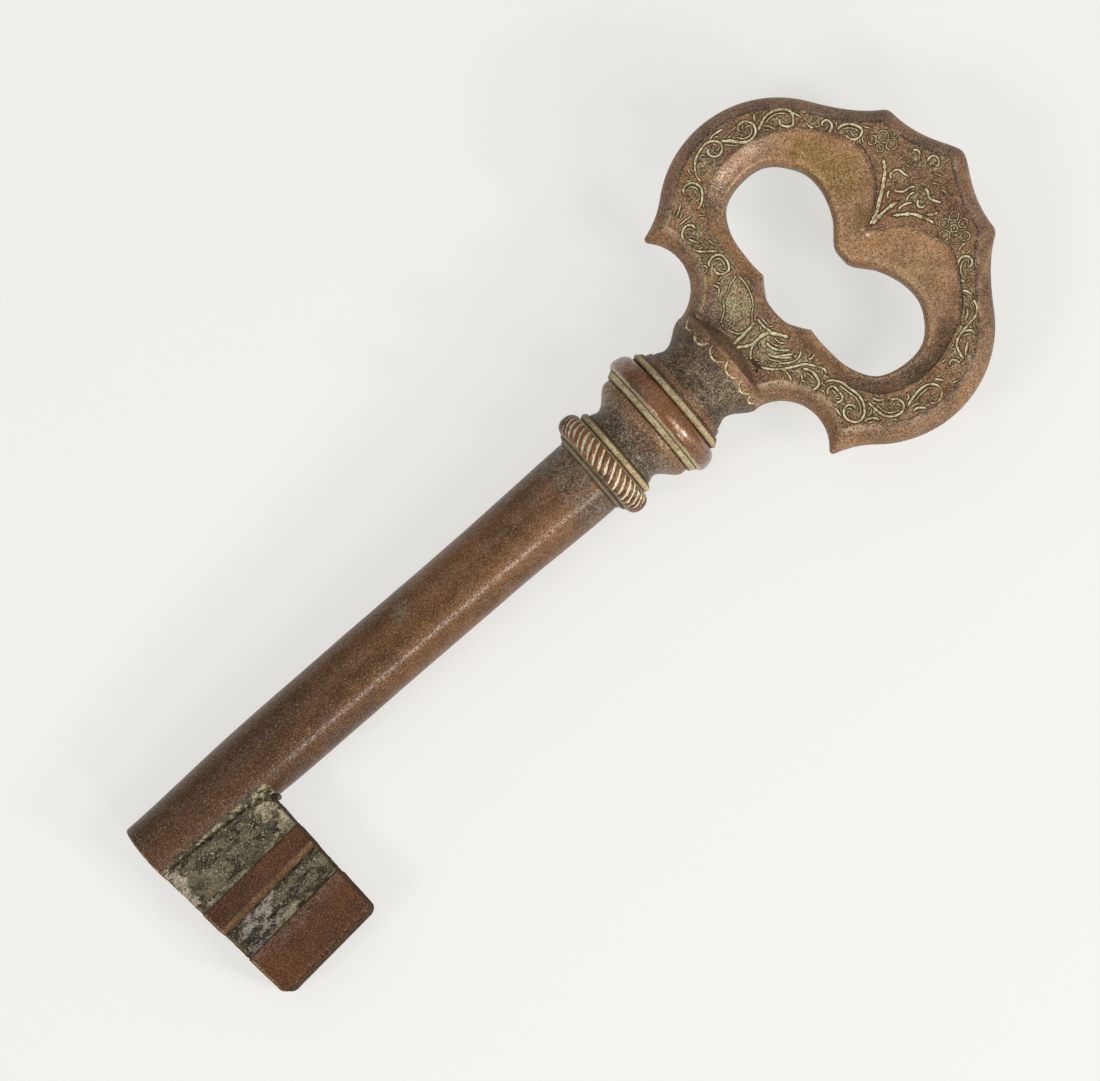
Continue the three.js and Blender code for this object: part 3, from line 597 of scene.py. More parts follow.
def lime_bronze(node, brown_start, brown_end, green=0.2, lime_colour="c6b48c"):
    """A pale ring with brown along its two edges and some green crust."""
    start, end, _ = span(node)
    patina = Patina(node + "_bronze", "7a5a3a", "5d432c", "8a6a4c", glints=0.3, pits=0.5, crumbs=0.2)
    surface = patina.surface
    fine = surface.noise(0.7, 4, 0.7, shift=0.35)
    lime = surface.stretch_of(start + brown_start, end - brown_end, 0.12, 0.12)
    patina.crusted(lime * surface.band(fine, 0.26, 0.42), lime_colour)
    patina.mottled(lime, surface.noise(3.2, 4, 0.65, shift=0.2), 0.46, 0.58, 0.6, "94825e")
    patina.mottled(lime, fine, 0.5, 0.4, 0.6, "6f5f42")
    # Dark mottling along both edges is painted shade in the crevices where the ring meets its neighbours.
    edges = surface.stretch_of(start, end, 0.1) - surface.stretch_of(
        start + brown_start + 0.15, end - brown_end - 0.15, 0.15)
    patina.mottled(edges, fine, 0.3, 0.5, 0.6, "2c2115")
    patina.mottled(lime, patina.drift, 0.6, 0.75, green, VERDIGRIS)
    return patina.finished(smooth=0.5, rough=0.62, metallic=0.25, coat=0.05, mottle=0.35)


def spool_bronze():
    start, end, _ = span("collar_spool")
    patina = Patina("spool_bronze", "87684a", "644d38", "9b8268", glints=0.5, pits=0.8, crumbs=0.2)
    surface = patina.surface
    fine = surface.noise(0.8, 4, 0.7, shift=0.35)
    waist = surface.stretch_of(start - 1, start + 3.4, 0.7, 0.8)
    patina.tinted(waist * 0.85, "3e3a2e")
    patina.crusted(waist * surface.band(fine, 0.56, 0.66) * 0.8, "8a8a58")
    middle = surface.stretch_of(start + 3.2, end - 3, 0.9, 1.2)
    patina.mottled(middle, fine, 0.48, 0.4, 0.8, "40332c")
    patina.mottled(middle, fine, 0.53, 0.6, 0.85, "b5a5a6")
    patina.tinted(surface.stretch_of(end - 2.6, end + 1, 0.6, 0.6) * 0.6, "85603d")
    return patina.finished(smooth=0.42, rough=0.52, metallic=0.25, mottle=0.85)


def torus_bronze():
    patina = Patina("torus_bronze", "82542e", "673f20", "936541", glints=0.2, pits=0.4, crumbs=0.1)
    start = span("torus_ring")[0]
    patina.crusted(patina.surface.stretch_of(start - 1, start + 0.5, 0.2, 0.3) * 0.7, LIME)
    return patina.finished(smooth=0.26, rough=0.38, metallic=0.3, relief=0.08, coat=0.7, mottle=0.4)


def rope_bronze():
    patina = Patina("rope_bronze", "7d4f28", "5a3419", "8d6440", glints=0.2, pits=0.4, crumbs=0.1)
    surface = patina.surface
    start, end, _ = span("rope_ring")
    fine = surface.noise(0.8, 4, 0.7, shift=0.35)
    uneven = (fine - 0.5) * 1.1 + (patina.patch - 0.5) * 1.2
    patina.crusted(surface.band(surface.value("valley") + uneven, 0.46, 0.64), PALE_LIME)
    edges = 1 - surface.stretch_of(start + 0.35, end - 0.35, 0.15)
    patina.crusted(edges * 0.7, "8f8766")
    return patina.finished(smooth=0.3, rough=0.42, metallic=0.3, relief=0.08, coat=0.45, mottle=0.4)


def filler_metal():
    patina = Patina("filler_metal", "524e3a", "34322a", "6f6850", glints=0.4, pits=0.8, crumbs=0.5)
    fine = patina.surface.noise(1.3, 4, 0.65, shift=0.35)
    patina.crusted(patina.surface.band(fine, 0.57, 0.62) * 0.9, "b9ad86")
    patina.tinted(patina.surface.band(fine, 0.47, 0.42) * 0.8, "17150f")
    return patina.finished(smooth=0.5, rough=0.65, metallic=0.2, relief=0.3)


def engraving_fill():
    surface = Surface("engraving_fill")
    fill = surface.noise(1.3, 4, 0.7, shift=0.9)
    wide = surface.noise(5, 4, 0.65, shift=0.45)
    grain = surface.noise(0.45, 3, 0.7, shift=0.2)
    colour = surface.mix(surface.band(fill, 0.4, 0.54), "a3946c", "ddd3ac")
    colour = surface.mix(surface.band(wide, 0.52, 0.64) * 0.5, colour, "98a080")
    colour = surface.mix(surface.band(wide + (grain - 0.5) * 0.5, 0.46, 0.36) * 0.7, colour, "8c6f48")
    colour = surface.mix(surface.band(grain, 0.47, 0.36) * 0.6, colour, "54432c")
    return surface.done(colour, 0.85, 0.0, grain, 0.08)


# The dark finish of the cuts' flanks and of the shallow steps beside the cuts: painted shade.
def engraving_shade():
    surface = Surface("engraving_shade")
    grain = surface.noise(0.6, 3, 0.7, shift=0.2)
    colour = surface.mix(surface.band(grain, 0.4, 0.6), "3b2a1b", "5e472f")
    return surface.done(colour, 0.6, 0.1, grain, 0.06)


# Modelling in millimetres

def glide(share):
    """A share of a way, starting and ending gently."""
    share = min(max(share, 0), 1)
    return share * share * (3 - 2 * share)


def lerp(start, end, share):
    """The value at a share of the way from start to end."""
    return start + (end - start) * share


def cove(start, end, start_radius, end_radius, steps):
    """Stations and radii of a hollow curve that starts and ends level."""
    points = []
    for i in range(steps + 1):
        rise = (1 - math.cos(math.pi * i / steps)) / 2
        points.append((lerp(start, end, i / steps), lerp(start_radius, end_radius, rise)))
    return points


def crest(start, top, end, start_radius, top_radius, end_radius, steps):
    """Stations and radii of a round moulding that rises to its top and falls again."""
    quarters = [math.pi / 2 * i / steps for i in range(steps + 1)]
    rise = [
        (lerp(start, top, 1 - math.cos(a)), lerp(start_radius, top_radius, math.sin(a)))
        for a in quarters
    ]
    fall = [(lerp(top, end, math.sin(a)), lerp(end_radius, top_radius, math.cos(a))) for a in quarters]
    return rise[:-1] + fall


def spun(profile, steps):
    """Stations and radii swept round the key's axis. An open profile ends on the axis."""
    bm = bmesh.new()
    verts = [bm.verts.new((x, radius, 0)) for x, radius in profile]
    edges = [bm.edges.new(pair) for pair in zip(verts, verts[1:])]
    if profile[0][1] > 0:
        edges.append(bm.edges.new((verts[-1], verts[0])))
    bmesh.ops.spin(
        bm, geom=verts + edges, cent=(0, 0, 0), axis=(1, 0, 0), dvec=(0, 0, 0),
        angle=FULL_TURN, steps=steps, use_merge=True)
    bmesh.ops.remove_doubles(bm, verts=bm.verts, dist=MERGE_DISTANCE)
    bmesh.ops.recalc_face_normals(bm, faces=bm.faces)
    return bm


def softened(bm, radius):
    """Rounds the corners that run along or round a piece."""
    edges = [e for e in bm.edges if e.is_manifold and e.calc_face_angle() > SHARP_ANGLE]
    bmesh.ops.bevel(
        bm, geom=edges, offset=radius, segments=BEVEL_STEPS, profile=0.5, affect="EDGES", material=-1)
    return bm


def weathered(bm, depth, size, shift=0):
    """Wears a surface inwards by uneven amounts up to the depth."""
    bm.normal_update()
    offset = Vector((shift, shift, shift))
    for vert in bm.verts:
        dent = 0.5 + 0.5 * noise.noise(vert.co / size + offset)
        vert.co -= vert.normal * (depth * min(max(dent, 0), 1))
    return bm


def placed(bm, name, material):
    """An object in the scene with this shape and material."""
    mesh = bpy.data.meshes.new(name)
    bm.to_mesh(mesh)
    bm.free()
    mesh.materials.append(material)
    thing = bpy.data.objects.new(name, mesh)
    bpy.context.scene.collection.objects.link(thing)
    return thing


def settled(thing):
    """Makes what the modifiers show into the mesh itself."""
    graph = bpy.context.evaluated_depsgraph_get()
    mesh = bpy.data.meshes.new_from_object(thing.evaluated_get(graph))
    thing.modifiers.clear()
    thing.data = mesh


def combined(thing, tool, operation):
    """Joins the tool to a piece or cuts it out, and takes the tool away."""
    change = thing.modifiers.new("solid", "BOOLEAN")
    change.solver = "MANIFOLD"
    change.operation = operation
    change.object = tool
    change.material_mode = "TRANSFER"
    settled(thing)
    bpy.data.objects.remove(tool)


def handed_over(thing, node, sharp=32):
    """A finished piece in metres, smoothly shaded, in place of its solid."""
    thing.data.transform(Matrix.Scale(MM, 4))
    thing.data.shade_smooth()
    thing.data.set_sharp_from_angle(angle=math.radians(sharp))
    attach(thing, "root")
    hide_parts(node)


# Collar and shank

def closed_up(bm, start, end):
    """Moves both end faces of a ring a little towards its neighbours."""
    for vert in bm.verts:
        vert.co.x += SNUG * ((vert.co.x > end - SNUG / 9) - (vert.co.x < start + SNUG / 9))
    return bm


def ring(node, outside, material, edge=RING_EDGE):
    """A turned ring from the profile of its outside, bored for the tang."""
    start, end, _ = span(node)
    bm = closed_up(spun([(start, RING_BORE), *outside, (end, RING_BORE)], RING_STEPS), start, end)
    softened(bm, edge)
    weathered(bm, RING_WEAR, RING_DENT, start)
    handed_over(placed(bm, node + "_turned", material), node)


def lip_ring():
    start, end, reach = span("shank_lip_ring")
    outside = cove(start, end, SHANK_COLLAR_RADIUS, reach, COVE_STEPS)
    bronze = lime_bronze(
        "shank_lip_ring", brown_start=0.15, brown_end=0.3, green=0.3, lime_colour="9c917a")
    ring("shank_lip_ring", outside, bronze, FINE_RING_EDGE)


def spool_foot_ring():
    start, end, reach = span("spool_foot_ring")
    middle = (start + end) / 2
    outside = crest(start, middle, end, FOOT_BACK_RADIUS, reach, FOOT_FRONT_RADIUS, COVE_STEPS)
    bronze = lime_bronze("spool_foot_ring", brown_start=0.1, brown_end=0.3)
    ring("spool_foot_ring", outside, bronze, FINE_RING_EDGE)


def collar_spool():
    start, end, reach = span("collar_spool")
    waist, rim = start + SPOOL_WAIST, end - SPOOL_RIM_LENGTH
    outside = [
        *cove(start, waist, SPOOL_EDGE_RADIUS, SPOOL_WAIST_RADIUS, COVE_STEPS),
        *cove(waist, rim, SPOOL_WAIST_RADIUS, reach, SPOOL_STEPS)[1:], (end, reach),
    ]
    ring("collar_spool", outside, spool_bronze())


def torus_seat_ring():
    start, end, reach = span("torus_seat_ring")
    outside = [(start, SEAT_BACK_RADIUS), (end, reach)]
    bronze = lime_bronze("torus_seat_ring", brown_start=0.15, brown_end=0, green=0.6)
    ring("torus_seat_ring", outside, bronze, SEAT_EDGE)


def torus_ring():
    start, end, reach = span("torus_ring")
    top = start + TORUS_TOP
    outside = crest(start, top, end, TORUS_BACK_RADIUS, reach, TORUS_FRONT_RADIUS, TORUS_STEPS)
    ring("torus_ring", outside, torus_bronze())


def neck_ring():
    start, end, reach = span("neck_ring")
    outside = [
        (start, NECK_RING_BACK_RADIUS), (start + NECK_RING_KNIFE, reach), (end, NECK_RING_FRONT_RADIUS),
    ]
    bronze = lime_bronze("neck_ring", brown_start=0.1, brown_end=0.6)
    ring("neck_ring", outside, bronze, FINE_RING_EDGE)


def rope_ring():
    """The ring with slanted flutes, which fade out towards its two ends."""
    start, end, _ = span("rope_ring")
    middle = (start + end) / 2
    outside = crest(
        start, middle, end, ROPE_BACK_RADIUS, ROPE_RADIUS, ROPE_FRONT_RADIUS, ROPE_CREST_STEPS)
    bm = closed_up(spun([(start, RING_BORE), *outside, (end, RING_BORE)], ROPE_STEPS), start, end)
    valley = bm.verts.layers.float.new("valley")
    twist = math.tan(math.radians(ROPE_FLUTE_SLANT)) / ROPE_RADIUS
    for vert in bm.verts:
        radius = math.hypot(vert.co.y, vert.co.z)
        if radius < RING_BORE + FIT:
            continue
        fade = max(math.sin(math.pi * (vert.co.x - start) / (end - start)), 0) ** ROPE_END_FADE
        angle = math.atan2(vert.co.y, vert.co.z) - twist * (vert.co.x - middle)
        wave = 1 - abs(math.cos(ROPE_FLUTES * angle / 2))
        vert[valley] = fade * wave
        scale = 1 - ROPE_FLUTE_DEPTH * fade * wave / radius
        vert.co.y *= scale
        vert.co.z *= scale
    handed_over(placed(bm, "rope_ring_cut", rope_bronze()), "rope_ring", 60)


def shank_radius(station):
    """Radius of the shank by distance from its bit end."""
    taper = glide(station / SHANK_TAPER)
    swell = glide((station - SHANK_LENGTH + SHANK_SWELL) / SHANK_SWELL)
    return lerp(SHANK_END_RADIUS, SHANK_RADIUS, taper) + (SHANK_COLLAR_RADIUS - SHANK_RADIUS) * swell


def shank():
    quarter = [math.pi / 2 * i / END_ROUND_STEPS for i in range(END_ROUND_STEPS)]
    end_round = [
        (SHANK_END_ROUND * (1 - math.cos(a)), SHANK_END_RADIUS - SHANK_END_ROUND * (1 - math.sin(a)))
        for a in quarter
    ]
    side = [lerp(SHANK_END_ROUND, SHANK_LENGTH, i / SHANK_STEPS) for i in range(SHANK_STEPS + 1)]
    collar, tip = SHANK_LENGTH + SNUG, tang_end - bit_end
    profile = [
        (BORE_DEPTH + BORE_POINT, 0), (BORE_DEPTH, BORE_RADIUS), (BORE_EDGE, BORE_RADIUS),
        (0, BORE_RADIUS + BORE_EDGE), *end_round, *[(s, shank_radius(s)) for s in side],
        (collar, SHANK_COLLAR_RADIUS), (collar, TANG_RADIUS), (tip - TANG_CHAMFER, TANG_RADIUS),
        (tip, TANG_RADIUS - TANG_CHAMFER), (tip, 0),
    ]
    bm = spun([(bit_end + station, radius) for station, radius in profile], RING_STEPS)
    weathered(bm, depth=0.16, size=14, shift=1)
    weathered(bm, depth=0.05, size=2.6, shift=2)
    thing = placed(bm, "shank_turned", shank_bronze())
    combined(thing, placed(tenon_block(FIT), "slot", thing.data.materials[0]), "DIFFERENCE")
    handed_over(thing, "shank")


# Bow: outlines in plan, as points by distance back from the crown tip and out from the axis

def plan(back, side):
    """A point of the plan."""
    return Vector((crown_tip - back, side))


def heading(degrees):
    """The direction at an angle from the key's length."""
    angle = math.radians(degrees)
    return Vector((math.cos(angle), math.sin(angle)))


def arc_run(centre, radius, start_angle, end_angle, steps):
    return [centre + radius * heading(lerp(start_angle, end_angle, i / steps)) for i in range(steps + 1)]


def bend_run(start, first, second, end, steps):
    """A curve that leaves and arrives by way of two control points."""
    return geometry.interpolate_bezier(start, first, second, end, steps + 1)


def sweep_run(start, control, end, steps):
    """A curve pulled towards one control point."""
    return bend_run(start, start.lerp(control, 2 / 3), end.lerp(control, 2 / 3), end, steps)


def spline_run(points, steps_each):
    """A smooth curve through all the points."""
    padded = [points[0], *points, points[-1]]
    run = []
    for before, start, end, after in zip(padded, padded[1:], padded[2:], padded[3:]):
        part = bend_run(start, start + (end - before) / 6, end - (after - start) / 6, end, steps_each)
        run += part[:-1]
    return [*run, points[-1]]


def evenly(run, steps):
    """Points spread at even distances along a run."""
    reach = [0]
    for a, b in zip(run, run[1:]):
        reach.append(reach[-1] + (b - a).length)
    points = []
    at = 0
    for i in range(steps + 1):
        target = reach[-1] * i / steps
        while at < len(run) - 2 and reach[at + 1] < target:
            at += 1
        points.append(run[at].lerp(run[at + 1], (target - reach[at]) / (reach[at + 1] - reach[at])))
    return points


def moved_in(run, distance_at):
    """A run moved to its right-hand side by a distance worked out at each point."""
    moved = []
    for i, point in enumerate(run):
        along = (run[min(i + 1, len(run) - 1)] - run[max(i - 1, 0)]).normalized()
        moved.append(point + distance_at(point) * Vector((along.y, -along.x)))
    return moved


def mitred(first, second):
    """Two runs cut back to the point where the first of them meets the next."""
    for i in range(1, len(first)):
        for j in range(1, len(second)):
            corner = geometry.intersect_line_line_2d(first[i - 1], first[i], second[j - 1], second[j])
            if corner:
                return [*first[:i], corner], [corner, *second[j:]]
    return first, second


def blunted(first, second, reach):
    """Rounds the corner where one run ends and the next starts, over a reach along both."""
    corner = second[0]
    before = [p for p in first if (p - corner).length > reach]
    after = [p for p in second if (p - corner).length > reach]
    curve = sweep_run(before[-1], corner, after[0], BLUNT_STEPS)
    middle = BLUNT_STEPS // 2
    return before + curve[1:middle + 1], curve[middle:-1] + after


def whole_outline(half, starts_on_axis):
    """A half outline joined to its mirror image across the axis."""
    pinned = [Vector(p) for p in half]
    pinned[-1].y = 0
    if starts_on_axis:
        pinned[0].y = 0
    mirror = [Vector((p.x, -p.y)) for p in pinned[1 if starts_on_axis else 0:-1]]
    return pinned + mirror[::-1]


def bow_half(inset):
    """Half outline from the neck to the crown tip, moved in from the edge at mid thickness."""
    centre = Vector((neck_foot + SCALLOP_CENTRE, SCALLOP_SIDE + SCALLOP_RADIUS))
    side = arc_run(centre, SCALLOP_RADIUS, SCALLOP_START, CUSP_ANGLE, SCALLOP_STEPS)
    middle = plan(BOW_CROWN_TO_WIDEST, BOW_HALF_WIDTH - BOW_ROUND_RADIUS)
    arc = arc_run(middle, BOW_ROUND_RADIUS, ROUND_START, ROUND_END, ROUND_STEPS)
    cusp, shoulder = side[-1], plan(SHOULDER_BACK, SHOULDER_HALF_SPAN)
    cusp_reach = CUSP_SWEEP_SHARE * (cusp - arc[0]).length
    shoulder_reach = SHOULDER_SWEEP_SHARE * (shoulder - arc[-1]).length
    cusp_control = arc[0] - cusp_reach * heading(ROUND_START - 90)
    shoulder_control = arc[-1] + shoulder_reach * heading(ROUND_END - 90)
    crown_control = plan(SHOULDER_BACK * CROWN_SWEEP_BACK, SHOULDER_HALF_SPAN * CROWN_SWEEP_SIDE)
    outer = [
        *sweep_run(cusp, cusp_control, arc[0], CROWN_STEPS), *arc[1:-1],
        *sweep_run(arc[-1], shoulder_control, shoulder, CROWN_STEPS),
    ]
    crown = bend_run(shoulder, crown_control, plan(0, CROWN_TIP_HALF_WIDTH), plan(0, 0), 2 * CROWN_STEPS)
    if inset > 0:
        side, outer, crown = [moved_in(run, lambda p: inset) for run in (side, outer, crown)]
        side, outer = mitred(side, outer)
        outer, crown = mitred(outer, crown)
        crown, _ = mitred(crown, [plan(-1, 0), plan(BOW_LENGTH, 0)])
    side, outer = blunted(side, outer, max(CUSP_BLUNT - inset, LEAST_BLUNT))
    outer, crown = blunted(outer, crown, max(SHOULDER_BLUNT - inset, LEAST_BLUNT))
    runs = [evenly(side, SCALLOP_STEPS), evenly(outer, ROUND_STEPS), evenly(crown, CROWN_STEPS)]
    return runs[0] + runs[1][1:] + runs[2][1:]


def lofted(outlines, heights, marks):
    """A closed solid through outlines with equal numbers of points, from the lowest up.

    Each layer's mark is kept as two shares: grime and painted shade above zero, worn metal and a painted
    highlight below.
    """
    bm = bmesh.new()
    order = bm.verts.layers.int.new("order")
    dirt_and_shade, wear_and_highlight = bm.verts.layers.float.new("dirt_and_shade"), bm.verts.layers.float.new("wear_and_highlight")
    first = [bm.verts.new((p.x, p.y, heights[0])) for p in outlines[0]]
    for i, vert in enumerate(first):
        vert[order] = i
        vert[dirt_and_shade] = vert[wear_and_highlight] = 0
    edges = [bm.edges.new(pair) for pair in zip(first, first[1:] + first[:1])]
    bm.faces.new(first)
    for outline, height, mark in zip(outlines[1:], heights[1:], marks[1:]):
        grown = bmesh.ops.extrude_edge_only(bm, edges=edges)["geom"]
        last = [g for g in grown if isinstance(g, bmesh.types.BMVert)]
        for vert in last:
            point = outline[vert[order]]
            vert.co = (point.x, point.y, height)
            vert[dirt_and_shade], vert[wear_and_highlight] = max(mark, 0), max(-mark, 0)
        fresh = set(last)
        edges = [
            g for g in grown
            if isinstance(g, bmesh.types.BMEdge) and g.verts[0] in fresh and g.verts[1] in fresh]
    bm.faces.new(sorted(last, key=lambda vert: vert[order]))
    bmesh.ops.recalc_face_normals(bm, faces=bm.faces)
    return bm


def crease_shade(inset):
    """Painted shade fills the crease where the flank meets the face, and thins out just below it."""
    if inset == FLANK_WIDTH:
        return 1
    return 0.4 if 0 < FLANK_WIDTH - inset < 1 else 0


def bow_plate():
    """The bow's plate without its opening: flanks that bulge to mid thickness between two faces."""
    half = BOW_THICKNESS / 2
    belly = Vector((0, half * FLANK_BELLY_SHARE))
    upper = sweep_run(Vector((0, 0)), belly, Vector((FLANK_WIDTH, half)), FLANK_STEPS)
    lower = [Vector((p.x, -p.y)) for p in upper[:0:-1]]
    inner = [Vector((FLANK_WIDTH + i * CREASE_WIDTH, half)) for i in (1, 2)]
    layers = [Vector((p.x, -p.y)) for p in inner[::-1]] + [*lower, *upper] + inner
    outlines = [whole_outline(bow_half(p.x + EDGE_WEAR), False) for p in layers]
    return lofted(outlines, [p.y for p in layers], [crease_shade(p.x) for p in layers])


def share_runs(tables, from_crown, length, half_width):
    """Curves through points that are given as shares of a length and a half width."""
    runs = []
    for shares in tables:
        points = [plan(from_crown + length * back, half_width * side) for back, side in shares]
        runs.append(spline_run(points, SPLINE_STEPS))
    return runs


def ring_of_runs(runs):
    """The lobe's run and the notch's run as one half outline."""
    return evenly(runs[0], LOBE_STEPS) + evenly(runs[1], NOTCH_STEPS)[1:]


def between(outline, other, share):
    """The outline at a share of the way from one to the other."""
    return [a.lerp(b, share) for a, b in zip(outline, other)]


def dish_outline():
    return ring_of_runs(share_runs(
        [DISH_LOBE_SHARES, DISH_NOTCH_SHARES], DISH_BACK, DISH_LENGTH, DISH_HALF_WIDTH))


def bow_hollow():
    """What the dishes and the opening take out of the bow."""
    half = BOW_THICKNESS / 2
    opening_runs = share_runs(
        [OPENING_LOBE_SHARES, OPENING_NOTCH_SHARES], OPENING_BACK, OPENING_LENGTH, OPENING_HALF_WIDTH)

    def lip_width(point):
        return lerp(LIP_WIDTH_CROWN, LIP_WIDTH_NECK, (crown_tip - OPENING_BACK - point.x) / OPENING_LENGTH)

    lip_runs = mitred(*[moved_in(run, lip_width) for run in opening_runs])
    opening, lip = [ring_of_runs(runs) for runs in (opening_runs, lip_runs)]
    dish = dish_outline()
    dish_top, dish_floor = half - DISH_STEP, half - DISH_DEPTH
    # The marks paint a dark line at the dish's step, painted shade with some grime, and a pale line along
    # the opening's lip, a painted highlight on worn metal.
    layers = [(dish, half + 1, 0.3), (dish, half - DISH_STEP * 0.4, 0.6)]
    for i in range(DISH_LAYERS + 1):
        share = i / DISH_LAYERS
        height = lerp(dish_top, dish_floor, math.sin(math.pi / 2 * share))
        mark = max(1 - i / 2, 0) if i < DISH_LAYERS else -1
        layers.append((between(dish, lip, share), height, mark))
    for i in range(1, LIP_LAYERS + 1):
        angle = math.pi / 2 * i / LIP_LAYERS
        height = lerp(WALL_HEIGHT / 2, dish_floor, math.cos(angle))
        layers.append((between(lip, opening, math.sin(angle)), height, -0.5 if i < 3 else 0))
    both = [(outline, -height, mark) for outline, height, mark in layers] + layers[::-1]
    outlines, heights, marks = zip(*both)
    return lofted([whole_outline(outline, True) for outline in outlines], heights, marks)


def bow_neck():
    foot, foot_end = neck_foot - SNUG, neck_foot + NECK_FOOT_LENGTH
    waist, mouth = neck_foot + NECK_WAIST, neck_foot + NECK_MOUTH
    ridge, shoulder = neck_foot + NECK_RIDGE, neck_foot + NECK_SHOULDER
    profile = [
        (foot, 0), (foot, NECK_FOOT_RADIUS), (foot_end, NECK_FOOT_RADIUS - NECK_STEP),
        *cove(foot_end, waist, NECK_FOOT_RADIUS - 2 * NECK_STEP, NECK_WAIST_RADIUS, COVE_STEPS),
        *cove(waist, mouth, NECK_WAIST_RADIUS, NECK_MOUTH_RADIUS, NECK_STEPS)[1:],
        (ridge, NECK_RIDGE_RADIUS), (shoulder, NECK_SHOULDER_RADIUS), (shoulder, 0),
    ]
    return softened(spun(profile, RING_STEPS), NECK_EDGE)


def tang_socket():
    """What the shank's tang needs out of the neck."""
    mouth, bottom = neck_foot - 1, neck_foot + TANG_GRIP + FIT
    return spun([(mouth, 0), (mouth, RING_BORE), (bottom, RING_BORE), (bottom, 0)], RING_STEPS)


def bow():
    bronze = bow_bronze()
    thing = placed(bow_plate(), "bow_cast", bronze)
    combined(thing, placed(bow_hollow(), "hollow", dish_bronze()), "DIFFERENCE")
    combined(thing, placed(bow_neck(), "neck", bronze), "UNION")
    combined(thing, placed(tang_socket(), "socket", bronze), "DIFFERENCE")
    engraved(thing)
    handed_over(thing, "bow", 15)


# Bit: rows of its blade run between lines that each lean towards the axis by their own few degrees

def bit_across(along, reach, lean):
    """The reach of a leaning line at a place along the bit."""
    return reach - along * math.tan(math.radians(lean))


def ward_edges(along):
    """The reaches of the bar's two edges and of the block's edge at a place along the bit."""
    return (
        bit_across(along, BAR_NEAR, BAR_NEAR_LEAN), bit_across(along, BAR_FAR, BAR_FAR_LEAN),
        bit_across(along, BLOCK_EDGE, BLOCK_LEAN))


def ward_depth(along, reach):
    """How far the blade's face is sunk at a place."""
    bar_near, bar_far, block = ward_edges(along)
    if reach < bar_near + 0.01:
        return ROOT_WARD_DEPTH * min((bar_near - reach) / WARD_WALL, 1)
    if bar_far < reach < block:
        slope = min((reach - bar_far) / FAR_WARD_SLOPE, 1)
        return FAR_WARD_DEPTH * min(slope, (block - reach) / WARD_WALL)
    return 0


def bit_rows():
    """Shares of the way from row line to row line, with more rows at the ward walls."""
    rows = []
    for line, count in enumerate(BIT_ROWS):
        rows += [(line, lerp(i / count, glide(i / count), ROW_CROWDING)) for i in range(count)]
    return [*rows, (len(BIT_ROWS) - 1, 1)]


def bit_blade():
    """The blade as a block of even cells, each corner then moved to its own place."""
    rows = bit_rows()
    half = BIT_THICKNESS / 2
    bm = bmesh.new()
    bmesh.ops.create_grid(bm, x_segments=BIT_COLUMNS, y_segments=len(rows) - 1, size=1)
    grown = bmesh.ops.extrude_face_region(bm, geom=bm.faces[:], use_keep_orig=True)["geom"]
    for vert in [g for g in grown if isinstance(g, bmesh.types.BMVert)]:
        vert.co.z = 1
    upright = [e for e in bm.edges if abs(e.verts[0].co.z - e.verts[1].co.z) > 0.5]
    bmesh.ops.subdivide_edges(bm, edges=upright, cuts=BIT_LEVELS, use_grid_fill=True)
    for vert in bm.verts:
        start, share = rows[round((vert.co.y + 1) / 2 * (len(rows) - 1))]
        column = (vert.co.x + 1) / 2
        crowded = lerp(column, 0.5 - 0.5 * math.cos(math.pi * column), COLUMN_CROWDING)
        vert.co = bit_place(crowded, start, share, (vert.co.z * 2 - 1) * half)
    bmesh.ops.recalc_face_normals(bm, faces=bm.faces)
    return bm


def bit_place(along_share, line, share, height):
    """A point of the blade from its share along, its place between two row lines and its height."""
    half = BIT_THICKNESS / 2
    lines = [
        None, (BAR_NEAR, BAR_NEAR_LEAN), (BAR_FAR, BAR_FAR_LEAN), (BLOCK_EDGE, BLOCK_LEAN),
        (BIT_REACH - EDGE_WEAR, BIT_FAR_LEAN),
    ]
    along = BIT_LENGTH * along_share
    away = shank_radius(BIT_SETBACK + along) + FIT
    root = math.sqrt(away ** 2 - height ** 2)
    for _ in range(4):
        near = root if line == 0 else bit_across(along, *lines[line])
        reach = lerp(near, bit_across(along, *lines[line + 1]), share)
        out = reach - SHANK_END_RADIUS
        start = math.tan(math.radians(BIT_END_LEAN)) * out
        end = BIT_LENGTH + math.tan(math.radians(BIT_HEEL_LEAN)) * out
        along = lerp(start, end, along_share)
    far_out = bit_across(along, BIT_REACH, BIT_FAR_LEAN) - reach
    end_out = min(along - start, end - along)
    face_out = half - abs(height)
    x_shift, y_shift = corner_pull(end_out, far_out, BIT_CORNER_ROUND)
    edge_round = lerp(BIT_END_ROUND, BIT_FAR_ROUND, glide((end_out - far_out) / 3 + 0.5))
    side = -1 if along_share < 0.5 else 1
    x, y = along - side * x_shift, reach - y_shift
    rim_out = min(end_out, far_out) if end_out > BIT_CORNER_ROUND or far_out > BIT_CORNER_ROUND else (
        BIT_CORNER_ROUND - math.hypot(
            max(BIT_CORNER_ROUND - end_out, 0) - x_shift, max(BIT_CORNER_ROUND - far_out, 0) - y_shift))
    inward, z_shift = corner_pull(rim_out, face_out, edge_round)
    if end_out <= far_out:
        x -= side * inward
    else:
        y -= inward
    level = abs(height) - z_shift
    level *= 1 - ward_depth(along, reach) / half
    return Vector((bit_end + BIT_SETBACK + x, -y, math.copysign(level, height)))


